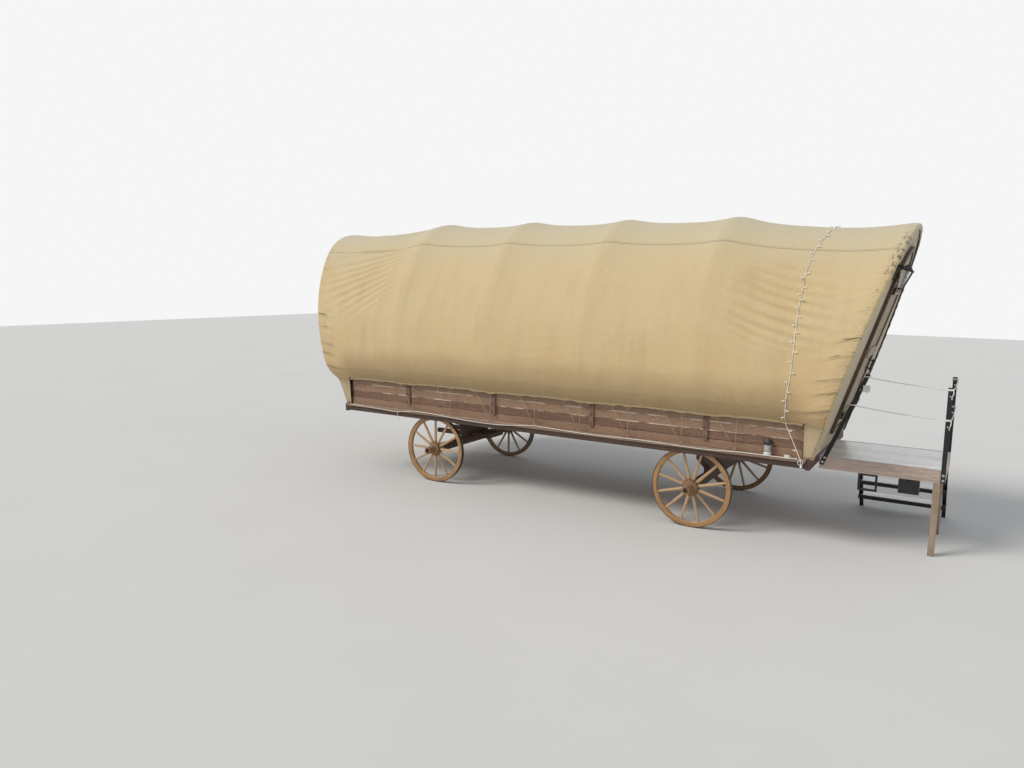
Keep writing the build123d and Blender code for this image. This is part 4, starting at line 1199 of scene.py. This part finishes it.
def gathered_edge(colour, normal, along, signed_length, away):
    """A colour and a normal with fine creases in the bunches and specks of mould along the edge.

    The creases are noise on (0.12 to edge, away - slant to edge), so they lie square to the edge; painted
    shade darkens their troughs in the bunches. A dark eye lies in each eye_gap, where root(beside^2 +
    inwards^2) is small. On the far side, painted shade darkens the whole edge almost to black.
    """
    to_edge = add_node("Attribute", {}, "Fac", colour.tree, attribute_name="from_edge")
    across = away - to_edge * edge_slant
    creases = noise(joined(to_edge * 0.12, across, 0.0), 46.0, 2.0, 0.5)
    bunch = 0.0
    for place in bunches:
        bunch = maths("MAXIMUM", bunch, near_line(across, place, bunch_half))
    wide = ranged(to_edge, 0.17, 0.02) * ranged(away, 0.6, 1.0)
    pulled = (bunch * 0.85 + 0.15) * maths("MAXIMUM", wide, bunch * ranged(to_edge, 0.30, 0.05))
    specks = ranged(noise(joined(to_edge * 2.2, across * 0.7, 1.0), 20.0, 3.0, 0.6), 0.47, 0.60)
    damp = ranged(away, 0.42, 0.60) * ranged(away, 1.25, 0.95, 0.16, 1.0) * ranged(along, -0.2, 0.2, 0.3, 0.9)
    beside = (maths("FRACT", across / eye_gap) - 0.5) * eye_gap
    apart = hypotenuse(beside, to_edge - eye_inset_on_cloth)
    eyes = ranged(creases * 0.016 + apart, 0.024, 0.014) * ranged(away, 1.75, 1.35)
    mould = maths("MAXIMUM", specks * damp * ranged(to_edge, 0.075, 0.01), eyes * 0.8)
    # Painted shade: the far side's edge, darkened almost to black.
    far_edge_painted_shade = ranged(signed_length, 0.25, 0.6) * ranged(to_edge, 0.045, 0.012)
    # A darker strip down each flank beside the bed's end: painted shade.
    flank = ranged(away, half_girth + 0.005, half_girth + 0.035) * ranged(to_edge, 0.175, 0.225)
    for mask, tone in ((flank * 0.42, (0.30, 0.205, 0.13)),
                       # Painted shade in the troughs of the bunched creases.
                       (ranged(creases, 0.50, 0.36) * pulled * 0.85, (0.13, 0.085, 0.045)),
                       (maths("MAXIMUM", mould * 0.85, far_edge_painted_shade * 0.93), (0.050, 0.038, 0.028))):
        colour = mixed(mask, colour, tone)
    return colour, bumped(creases * pulled, 0.030, 0.9, normal)


# %% Make the canvas material
def make_canvas(name, bleached_and_sky_lit, middle, low, axes=None):
    """Colour by length from the crown, then wear, seams, stains and slubs; the weave and creases are bumps.

    The cover reads its own flat place. A piece without one names the two Object axes that stand for it, and
    has mould from the crown down in place of seams and bow lines.
    """
    material, tree, shader = new_material(name, 0.86, {"Sheen Weight": 0.18, "Sheen Roughness": 0.5})
    if axes is None:
        along, signed_length, _ = split(add_node("UVMap", {}, 0, tree, uv_map="cloth"))
        away = abs(signed_length)
        flat = joined(along, signed_length, 0.0)
    else:
        parts = split(object_place(tree))
        along = parts[axes[0]]
        away = bow_base + crown_rise - parts[axes[1]]
        flat = joined(along, away, 0.0)
    blotch = noise(flat, 1.7, 4.0, 0.6)
    # Paler at the crown, darker and browner towards the hem: partly sun bleaching, partly painted sky light
    # on top and painted shade low down.
    shifted = blotch * 0.9 + (away - 0.45)
    colour = mixed(ranged(shifted, 0.3, 1.35), bleached_and_sky_lit, middle)
    colour = mixed(ranged(shifted, 1.7, 3.0), colour, low)
    weave = use_group("cloth_weave", Place=flat)
    colour = shaded(colour, ranged(weave["Slubs"], 0.3, 0.7, 0.93, 1.06))
    streaks = noise(joined(along * 4.5, away, 0.0), 1.1, 4.0, 0.6)
    grime = ranged(streaks, 0.42, 0.78) * ranged(away, 0.3, 2.0)
    colour = mixed(grime * 0.16, colour, (0.27, 0.195, 0.11))
    creases = noise(joined(along * 0.5, away, 0.0), 13.0, 4.0, 0.62, 0.5)
    normal = bumped(creases, 0.009, 0.42)
    if axes is None:
        colour = worn_lines(colour, along, away, blotch)
        colour, normal = gathered_edge(colour, normal, along, signed_length, away)
    else:
        runs_down = noise(joined(along * 7.0, away, 3.0), 3.2, 4.0, 0.65)
        mould = ranged(runs_down, 0.42, 0.72) * ranged(away, 0.95, 0.30) * ranged(parts[0], -0.1, 0.1)
        colour = mixed(mould * 0.72, colour, (0.095, 0.070, 0.046))
    wire(shader, {"Base Color": colour, "Roughness": ranged(blotch, 0.2, 0.8, 0.80, 0.92),
                  "Normal": bumped(weave["Height"], 0.0008, 0.5, normal)})
    return material


paint(make_canvas("canvas_cloth", (0.62, 0.535, 0.36), (0.66, 0.505, 0.275), (0.62, 0.435, 0.215)), "cover")
paint(make_canvas("wall_cloth", (0.56, 0.475, 0.325), (0.53, 0.44, 0.295), (0.47, 0.375, 0.235), axes=(1, 2)),
      "end_wall_rear", "end_wall_front")
print("canvas ready")

# %% [markdown]
# ## The hem
#
# The cover's lower edge is turned up round a rope and stitched, so it is thicker than the cloth, lumpy, and a
# little paler where hands and sun have worn it. A rounded section carried along the hem, with a radius that
# wanders, shows that better than a flat strip: it catches light above and drops a thin shadow on the boards.

# %% Carry a sleeve along the hem
both_sides = (("near", -1), ("far", 1))
hem_lift = 0.002
hem_stations = np.linspace(-3.18, 3.205, 330)
hem_radius = 0.0160 + 0.0036 * wander(hem_stations, 0.17, 51) + 0.0016 * wander(hem_stations, 0.045, 52)


def hem_line(along, side, drop=0.004):
    """Points on the middle of the hem's sleeve, which stands hem_lift off the cloth."""
    return on_cloth(along, side * half_girth, hem_lift) - [0, 0, drop]


hem_cloth = make_canvas("hem_cloth", (0.66, 0.52, 0.31), (0.62, 0.46, 0.25), (0.60, 0.44, 0.24), axes=(0, 2))
for label, side in both_sides:
    sleeve = tube_parts(hem_line(hem_stations, side), hem_radius, 10, tall=1.3)
    add_piece(f"hem_sleeve_{label}", [sleeve], hem_cloth)
print("hem sleeve radius", round(float(hem_radius.min()), 4), "to", round(float(hem_radius.max()), 4))

# %% [markdown]
# ## Lacing
#
# Two cords run from each screw eye on the ledge to eyelets in the hem, one straight up and one leaning
# towards the front. They are taut, so straight rods are right; a knot at each end and a ring in the hem
# tell the eye how they are held. The cord's fibres are too fine to see, and a fine noise stands for them.

# %% Make cord, rope and small plastic finishes
def make_cord(name, light, dark, scale, roughness=0.8):
    """Twisted fibres: a fine noise moves the colour, and the same noise is a small bump."""
    material, tree, shader = new_material(name, roughness)
    place = object_place(tree)
    fibres = noise(place, scale, 3.0, 0.6, 0.4)
    soil = ranged(noise(place, 7.0, 3.0, 0.6), 0.45, 0.75)
    colour = mixed(ranged(fibres, 0.3, 0.7), dark, light)
    wire(shader, {"Base Color": mixed(soil * 0.35, colour, (0.20, 0.15, 0.10)),
                  "Normal": bumped(fibres, 0.001, 0.7)})
    return material


lace_cord = make_cord("lace_cord", (0.52, 0.38, 0.26), (0.33, 0.23, 0.15), 260.0)
rail_rope = make_cord("rail_rope", (0.90, 0.895, 0.87), (0.80, 0.79, 0.75), 200.0)
light_cable = make_cord("light_cable", (0.90, 0.88, 0.83), (0.80, 0.77, 0.71), 90.0, 0.45)
dark_thread = make_cord("dark_thread", (0.10, 0.07, 0.05), (0.05, 0.035, 0.025), 300.0)
bulb_plastic = make_plastic("bulb_plastic", (0.90, 0.88, 0.82), 0.22)
lantern_plastic = make_glass("lantern_plastic", (0.80, 0.82, 0.80), (0.62, 0.63, 0.60), 0.22)

# %% Tie the hem to the ledge
eye_inset = 0.016
eye_radius = 0.010
eye_wire = 0.0022
eye_neck = 0.004
eyelet_drop = 0.010
eyelet_out = 0.010
lace_radius = 0.0040
foot_knot = 0.020
head_knot = 0.016
knot_profile = [(0.002, -0.011), (0.007, -0.007), (0.0085, 0), (0.007, 0.007), (0.002, 0.011)]
ledge_top = ledge_high.z

for label, side in both_sides:
    eyes = np.stack([mid_x + hooks, np.full(len(hooks), side * (ledge_edge_y - eye_inset)),
                     np.full(len(hooks), ledge_top + eye_radius + eye_neck)], axis=-1)
    heads = hem_line(np.concatenate([hooks, lean_ties]), side, eyelet_drop)
    feet = np.vstack([eyes, eyes])
    up = unit(heads - feet)
    add_piece(f"lacing_{label}", [
        rods(feet, heads, lace_radius),
        turned(feet + foot_knot * up, up, knot_profile),
        turned(heads - head_knot * up, up, knot_profile),
    ], lace_cord)
    add_piece(f"screw_eyes_{label}", [
        hoops(eyes, (0.35, 1.0, 0), wire_section(eye_radius, eye_wire), 16),
        rods(eyes - [0, 0, eye_radius + 0.010], eyes - [0, 0, eye_radius], eye_wire),
        hoops(heads + [0, side * eyelet_out, 0.006], (0, 1, 0), wire_section(0.009, 0.0025), 16),
    ], worn_steel)
print("cords on each side:", 2 * len(hooks))

# %% [markdown]
# ## Stitches
#
# Each flank's seam is sewn in long dark stitches that follow the end's edge down to the bed. They are
# short rods laid just proud of the cloth, one after another with a gap, as a sewing palm leaves them.

# %% Sew the flanks
stitch_step = 0.026
stitch_starts = np.arange(2.76, half_girth + flank_length - 0.03, stitch_step)
seam_wrap = 0.12
seam_lift = 0.0012
stitch_radius = 0.0022


def seam_points(side, end, reach):
    """Points of the seam: a small share of the wrap round the end bow, along one half of the end's edge."""
    one = np.ones_like(reach)
    return dressed(side * one, reach, end * last_bow * one, one, seam_wrap * one, end * one, seam_lift)[0]


stitch_ends = stitch_starts + 0.55 * stitch_step
stitches = []
for side in (-1, 1):
    for end in (-1, 1):
        starts, ends = seam_points(side, end, stitch_starts), seam_points(side, end, stitch_ends)
        stitches.append(rods(starts, ends, stitch_radius, 5))
add_piece("flank_stitches", stitches, dark_thread)
print("stitches:", 4 * len(stitch_starts))

# %% [markdown]
# ## Lights
#
# A string of small lights hangs over the rear bay: a white cable that follows the cloth and short bulbs
# that stick out to either side. A second, plain cable is clipped along the ledge's edge and sags a little
# between its clips. Their paths are control points in lengths, smoothed by a Catmull-Rom curve.

# %% Lay the string of lights over the cover
strand_path = smooth_path([(3.245, 0.0), (3.240, -0.25), (3.216, -0.477), (3.170, -0.687), (3.125, -0.906),
                           (3.104, -1.153), (3.100, -1.402), (3.093, -1.634), (3.094, -1.986),
                           (3.086, -2.338), (3.066, -2.522), (3.050, -2.726), (3.030, -2.890),
                           (3.030, -2.965)], 14)
strand_radius = 0.0042
stem_radius = 0.0044
stem_length = 0.014
bulb_gap = 0.105
low_bulbs = [9, 17, -1]
low_stems = np.array([(0.012, 0.006, 0.004), (-0.012, 0.006, 0.004), (0, 0, -0.012)])
bulb_profile = [(0.0040, 0.0), (0.0068, 0.004), (0.0072, 0.014), (0.0058, 0.024), (0.0015, 0.030)]
ledge_side = ledge_edge_y + 0.006


def string_lights(label, side):
    """The cable from the crown to the ledge, and its bulbs, which leave it across to alternate sides."""
    along, signed = strand_path[:, 0], side * np.abs(strand_path[:, 1])
    on_cover = on_cloth(along, signed, strand_radius + 0.001)
    falls = [(3.045, 0.006, 1.345), (3.105, 0, 1.215), (3.175, 0, 1.060), (3.205, 0, ledge_top + 0.008),
             (3.215, 0.004, ledge_top - 0.035)]
    foot = smooth_path([on_cover[-1], *((mid_x + x, side * (ledge_side + out), z) for x, out, z in falls)], 6)
    path = np.vstack([on_cover, foot[1:]])
    runs = np.append(0.0, np.cumsum(np.linalg.norm(np.diff(on_cover, axis=0), axis=1)))
    starts = np.searchsorted(runs, np.arange(0.06, runs[-1] - 0.04, bulb_gap))
    turn = np.where(np.arange(len(starts)) % 2 == 0, 1.0, -1.0)
    wide = np.where(np.arange(len(starts)) % 3 == 0, 0.6, 1.0) * turn
    tips = on_cloth(along[starts] + stem_length * wide, signed[starts], strand_radius + 0.007)
    roots = np.vstack([on_cover[starts], foot[low_bulbs]])
    tips = np.vstack([tips, foot[low_bulbs] + low_stems * [1, side, 1]])
    cable = tube_parts(path, strand_radius, 7, up=(1, 0, 0))
    add_piece(f"light_string_{label}", [cable, rods(roots, tips, stem_radius)], light_cable)
    bulbs = turned(tips, tips - roots, bulb_profile, 8)
    add_piece(f"light_bulbs_{label}", [bulbs], bulb_plastic)
    return len(tips)


print("bulbs:", sum(string_lights(label, side) for label, side in both_sides))

# %% Clip the cable along the ledge
clip_places = np.array([(-3.16, 0.986), (-2.62, 0.970), (-2.30, 0.960), (-1.94, 0.998), (-1.37, 0.974),
                        (-1.04, 0.958), (-0.56, 0.958), (-0.04, 1.002), (0.42, 0.987), (0.87, 0.981),
                        (1.39, 0.990), (2.12, 0.976), (2.57, 0.994), (3.00, 0.994), (3.17, 0.996)])
coil_places = [(3.205, 0.002, 0.992), (3.236, 0.004, 0.970), (3.222, 0.008, 0.936), (3.188, 0.010, 0.946),
               (3.190, 0.012, 0.978), (3.222, 0.014, 0.984)]
globe_profile = [(0.004, 0.0), (0.0045, 0.006), (0.0105, 0.012), (0.0135, 0.021), (0.0115, 0.030),
                 (0.004, 0.035)]
cable_radius = 0.0042
coil_radius = 0.0035
drop_radius = 0.0025


def beside_ledge(places):
    """Points along the near ledge's edge from rows of (length along the wagon, height)."""
    return np.stack([mid_x + places[:, 0], np.full(len(places), -ledge_side), places[:, 1]], axis=-1)


cable_path = beside_ledge(smooth_path(clip_places, 10))
drop_top = np.array([mid_x - 2.283, -ledge_side, 0.960])
drop_foot = drop_top - [0, 0, 0.085]
coil = smooth_path([(mid_x + x, -ledge_side - out, z) for x, out, z in coil_places], 8)
add_piece("ledge_cable", [
    tube_parts(cable_path, cable_radius, 7),
    hoops(beside_ledge(clip_places), (1, 0, 0), wire_section(0.0065, 0.0020), 12),
    rods([drop_top], [drop_foot], drop_radius),
    tube_parts(coil, coil_radius, 7, up=(0, 1, 0)),
], light_cable)
globe_feet = np.array([drop_foot, (mid_x + 3.219, -ledge_side - 0.004, ledge_top - 0.047)])
add_piece("ledge_globes", [turned(globe_feet, (0, 0, -1), globe_profile, 14)], bulb_plastic)
print("ledge cable length", round(float(np.linalg.norm(np.diff(cable_path, axis=0), axis=1).sum()), 2))

# %% [markdown]
# ## Solar lantern and socket boxes
#
# A solar lantern stands on the ledge: black cap with a small cell on top, clear body, pale foot. It is a
# turned profile in four parts, because each has its own finish. The white plug box on the ledge and the
# socket box on the rail post are moulded boxes with round edges, a lid line and a cable gland.

# %% Turn the solar lantern
lantern_foot = (mid_x + 2.852, -(side_face_y + ledge_edge_y) / 2, ledge_top)
up_axis = (0, 0, 1)
foot_profile = [(0.0385, 0.0), (0.0415, 0.004), (0.0415, 0.034), (0.0400, 0.040), (0.0370, 0.042)]
body_profile = [(0.0385, 0.040), (0.0395, 0.050), (0.0400, 0.090), (0.0395, 0.124), (0.0385, 0.128)]
core_profile = [(0.026, 0.042), (0.030, 0.052), (0.030, 0.108), (0.022, 0.122)]
cap_profile = [(0.0380, 0.125), (0.0455, 0.127), (0.0465, 0.136), (0.0460, 0.156), (0.0390, 0.172),
               (0.0230, 0.183), (0.0215, 0.187), (0.0130, 0.188)]
for label, profile, finish, slot in (("foot", foot_profile, white_plastic, "box_plastic"),
                                     ("body", body_profile, lantern_plastic, "lantern_glass"),
                                     ("core", core_profile, white_plastic, "box_plastic"),
                                     ("cap", cap_profile, black_plastic, "box_plastic")):
    add_piece(f"solar_lantern_{label}", [turned([lantern_foot], up_axis, profile, 28)], finish)
print("solar lantern foot at", tuple(round(v, 3) for v in lantern_foot))

# %% Mould the white boxes
gland_profile = [(0.009, -0.004), (0.009, 0.008), (0.006, 0.010), (0.006, 0.018)]
lid_lip = 0.0015
corner_round = 0.0035


def moulded_box(name, low, high, lid_share, gland, gland_axis):
    """A body and a slightly wider lid with rounded edges, and a turned cable gland."""
    parting = low[1] + (high[1] - low[1]) * lid_share
    lid = blocks([(low[0] - lid_lip, low[1], low[2] - lid_lip)],
                 [(high[0] + lid_lip, parting, high[2] + lid_lip)])
    body = blocks([(low[0], parting, low[2])], [high])
    cable_gland = turned([gland], gland_axis, gland_profile, 12)
    box = add_piece(name, [lid, body, cable_gland], white_plastic, smooth=False)
    rounding = box.modifiers.new("rounding", "BEVEL")
    rounding.width = corner_round
    rounding.segments = 3
    rounding.limit_method = "ANGLE"


moulded_box("socket_box", (mid_x + 3.702, -0.585, 1.702), (mid_x + 3.768, -0.538, 1.768), 0.35,
            (mid_x + 3.735, -0.562, 1.702), (0, 0, -1))
moulded_box("plug_box", (mid_x + 3.035, -1.120, ledge_top), (mid_x + 3.085, -1.085, ledge_top + 0.034), 0.4,
            (mid_x + 3.085, -1.102, ledge_top + 0.015), (1, 0, 0))
print("two moulded boxes")

# %% [markdown]
# ## Rail ropes
#
# Two ropes close the porch's near side and two its end. Each is wound once round the inner post and twice
# round each outer one, and runs to the next with a slight sag. A winding is a path round the post's flat
# section that climbs by one rope's thickness each turn, so it is one tube from end to end.

# %% Wind and stretch the ropes
rope_radius = 0.0050
turn_climb = 2.1 * rope_radius
post_half_thickness = 0.0045
outer_half_width = 0.0225
inner_half_width = 0.0245
outer_low, outer_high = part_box("rail_posts_outer")
outer_x = (outer_low.x + outer_high.x) / 2
post_y = outer_high.y - 0.004
inner_slope = 0.40
inner_foot = (mid_x + 3.324, 0.846)


def inner_x(z):
    """The leaning inner post's middle at a height."""
    return inner_foot[0] + (z - inner_foot[1]) * inner_slope


def winding(x, y, z, half_width, turns, slope=0.0):
    """A path round a flat bar that climbs by turn_climb with each turn.

    A turn is x + (half width + r) cos a, y + (half thickness + r) sin a, pushed out to the bar's corners.
    """
    angle = np.linspace(0, 2 * pi * turns, 20 * turns + 1)
    rise = z + (angle / (2 * pi) - turns / 2) * turn_climb
    square = (np.abs(np.cos(angle)) ** 4 + np.abs(np.sin(angle)) ** 4) ** -0.25
    return np.stack([x + (rise - z) * slope + (half_width + rope_radius) * np.cos(angle) * square,
                     y + (post_half_thickness + rope_radius) * np.sin(angle) * square, rise], axis=-1)


def stretched(start, end, sag):
    """A rope's run with its own weight's sag: start + (end - start) u, less 4 sag u (1 - u) in height."""
    u = np.linspace(0, 1, 24)[:, None]
    run = np.asarray(start) + (np.asarray(end) - np.asarray(start)) * u
    return run - np.array([0, 0, 4 * sag]) * u * (1 - u)


def rope_end(x, y, z, side):
    """A short tail that curls down from a knot."""
    return smooth_path([(x + 0.024, y, z), (x + 0.034, y + side * 0.008, z - 0.014),
                        (x + 0.031, y + side * 0.012, z - 0.045), (x + 0.020, y + side * 0.012, z - 0.078),
                        (x + 0.024, y + side * 0.014, z - 0.096)], 6)


rope_heights = ((1.862, 1.785, 0.010), (1.545, 1.467, 0.012))
end_sag = 0.022
near_y = -post_y - post_half_thickness - rope_radius
rear_x = outer_x + outer_half_width + rope_radius
round_posts, runs = [], []
for inner_z, outer_z, sag in rope_heights:
    inner_middle = inner_x(inner_z)
    round_posts.append(winding(inner_middle, -post_y, inner_z, inner_half_width, 1, inner_slope))
    runs.append(stretched((inner_middle, near_y, inner_z), (outer_x, near_y, outer_z), sag))
    runs.append(stretched((rear_x, -post_y, outer_z), (rear_x, post_y, outer_z), end_sag))
    for side in (-1, 1):
        round_posts.append(winding(outer_x, side * post_y, outer_z, outer_half_width, 2))
        round_posts.append(rope_end(outer_x - 0.004, side * (post_y + 0.006), outer_z, side))
add_piece("rail_ropes", [tube_parts(path, rope_radius, 6) for path in round_posts]
          + [tube_parts(path, rope_radius, 8) for path in runs], rail_rope)
print("ropes at heights", [z for _, z, _ in rope_heights])

# %% [markdown]
# ## Bolts, screws and nave bands
#
# Fasteners are what tells a maker how a thing goes together. Bolts hold each post's foot, carriage bolts
# hold the battens, screws hold the deck, and nails hold the boards. Each kind is one turned profile placed
# many times at once. The naves have iron bands that keep the turned wood from splitting.

# %% Place the fasteners
hex_profile = [(0.0150, 0.0), (0.0150, 0.0020), (0.0105, 0.0021), (0.0105, 0.0085), (0.0085, 0.0100)]
dome_profile = [(0.0135, -0.001), (0.0130, 0.0020), (0.0100, 0.0050), (0.0050, 0.0068), (0.0010, 0.0072)]
screw_profile = [(0.0048, -0.001), (0.0046, 0.0006), (0.0020, 0.0009)]
nail_profile = [(0.0042, -0.001), (0.0040, 0.0009), (0.0015, 0.0012)]


def outward_y(places):
    """For each place the direction along y away from the wagon's middle."""
    return np.sign(places[:, 1:2]) * [[0, 1.0, 0]]


post_face = outer_high.y
post_bolts = np.array([(outer_x, side * post_face, z) for side in (-1, 1) for z in (0.832, 0.885)]
                      + [(inner_x(z), -post_face, z) for z in (0.876, 0.928)])
add_piece("post_bolts", [turned(post_bolts, outward_y(post_bolts), hex_profile, 6)], bright_bolt,
          smooth=False)

batten_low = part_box("battens_near")[0]
bolt_rises = batten_low.z + np.array([0.045, 0.150, 0.255])
batten_bolts = np.array([(mid_x + x, side * -batten_low.y, z) for side in (-1, 1) for x in bow_places
                         for z in bolt_rises])
add_piece("carriage_bolts", [turned(batten_bolts, outward_y(batten_bolts), dome_profile, 10)], brown_bolt)

deck_lines = np.linspace(deck_low.x + 0.03, deck_high.x - 0.03, 4)
deck_rows = -deck_half_width + deck_board * (np.arange(8)[:, None] + [0.25, 0.75]).ravel()
deck_screws = np.array([(x, y, deck_high.z) for x in deck_lines for y in deck_rows])
add_piece("deck_screws", [turned(deck_screws, up_axis, screw_profile, 8)], bright_bolt)

beside_bows = (np.array(bow_places)[:, None] + [0.05, -0.05]).ravel()
nail_columns = mid_x + np.append(beside_bows, [-3.17, 3.17])
nail_rises = side_low.z + board_width * (np.arange(4)[:, None] + [0.3, 0.7]).ravel()
nail_places = np.array([(x, side * side_face_y, z) for side in (-1, 1) for x in nail_columns
                        for z in nail_rises])
add_piece("board_nails", [turned(nail_places, outward_y(nail_places), nail_profile, 6)], worn_steel)
print("bolts", len(post_bolts) + len(batten_bolts), "screws", len(deck_screws), "nails", len(nail_places))

# %% Band the naves and pin the felloes
pin_profile = [(0.0075, -0.001), (0.0070, 0.0012), (0.0020, 0.0022)]
pin_from_middle = 0.023
pin_from_joint = radians(4.5)
corner_ease = 0.0012


def band_section(inside, outside, start, end):
    """The section of a flat band: rows of (radius, place on the axle), with its outer corners eased."""
    return [(outside, start + corner_ease), (outside, end - corner_ease), (outside - corner_ease, end),
            (inside, end), (inside, start), (outside - corner_ease, start)]


nave_bands = (band_section(0.070, 0.0825, 0.026, 0.040), band_section(0.070, 0.0825, -0.048, -0.034),
              band_section(0.040, 0.0515, 0.104, 0.116), band_section(0.035, 0.0490, 0.172, 0.1885))
for name in wheel_names:
    hub = hubs[name]
    outward = np.array([0, np.sign(hub[1]), 0])
    pin_circle = wooden_radius(name) - felloe_depth / 2
    joints = first_joints[name.split("_")[0]] + felloe_angle * np.arange(6)
    angle = joints[:, None] + pin_from_joint * np.array([-1, 1])
    pin_offsets = np.stack([pin_circle * np.cos(angle), np.full(angle.shape, outward[1] * pin_from_middle),
                            pin_circle * np.sin(angle)], axis=-1)
    pins = (hub + pin_offsets).reshape(-1, 3)
    bands = [hoops([hub], outward, section, 36) for section in nave_bands]
    add_piece(f"wheel_irons_{name}", [*bands, turned(pins, outward, pin_profile, 8)], worn_steel,
              f"{name}_wheel")
print("bands on each nave:", len(nave_bands))

# %% [markdown]
# ## Floor, world and lights
#
# The stage is a pale floor under a white sky. The sky lights the scene softly and a little cool, but the
# camera, mirrors and glass see it plain white. One soft sun from the near side and the front gives the
# forms a light side and a shade side, and a weaker one fills from the rear. Suns light the whole floor
# alike, out to the horizon.

# %% Set the stage
floor_half = 40.0
floor_corners = [(-floor_half, -floor_half, 0), (floor_half, -floor_half, 0), (floor_half, floor_half, 0),
                 (-floor_half, floor_half, 0)]
floor_piece = mesh_piece("floor", floor_corners, [np.array([[0, 1, 2, 3]])], "wagon", smooth=False)
floor_material, floor_tree, floor_shader = new_material("floor_pale", 0.85)
floor_tone = ranged(noise(object_place(floor_tree), 0.6, 3.0, 0.5), 0.3, 0.7)
wire(floor_shader, {"Base Color": mixed(floor_tone, (0.715, 0.71, 0.695), (0.73, 0.725, 0.71))})
paint(floor_material, "floor")

world = bpy.data.worlds.new("sky")
bpy.context.scene.world = world
world.use_nodes = True
sky_tree = world.node_tree
sky_tree.nodes.clear()
light_path = sky_tree.nodes.new("ShaderNodeLightPath").outputs
camera_ray, glossy_ray, clear_ray = (Signal(light_path[f"Is {kind} Ray"])
                                     for kind in ("Camera", "Glossy", "Transmission"))
soft_sky = add_node("Background", {"Color": (0.90, 0.94, 1.0), "Strength": 0.44}, 0, sky_tree)
white_sky = add_node("Background", {"Color": (1.0, 1.0, 1.0), "Strength": 0.92}, 0, sky_tree)
seen = maths("MAXIMUM", camera_ray, maths("MAXIMUM", glossy_ray, clear_ray))
wire(sky_tree.nodes.new("ShaderNodeOutputWorld").inputs,
     {"Surface": add_node("MixShader", {0: seen, 1: soft_sky, 2: white_sky})})


def sun_lamp(name, towards, strength, spread, colour):
    """Parallel light from a direction. Its spread, in degrees, softens the shadows."""
    lamp = bpy.data.lights.new(name, "SUN")
    lamp.energy = strength
    lamp.angle = radians(spread)
    lamp.color = colour
    holder = bpy.data.objects.new(name, lamp)
    holder.rotation_euler = Vector(towards).to_track_quat("Z", "Y").to_euler()
    bpy.context.scene.collection.objects.link(holder)


sun_lamp("key", (-0.54, -0.56, 0.68), 1.95, 22, (1.0, 0.97, 0.92))
sun_lamp("fill", (0.85, -0.35, 0.40), 0.28, 60, (0.94, 0.97, 1.0))
bpy.context.scene.view_settings.view_transform = "Standard"
print("stage set")

# %% [markdown]
#
# The canvas was cut to a size: its whole girth by its whole length. Its length is worked out here from
# the middle bays, the two end bays and the wrap round the end bows.

# %% Work out the canvas's cut length
cut_length = round(2 * (last_bow + float(bay_length(1.5)) + wrap_angle * wrap_radius), 3)
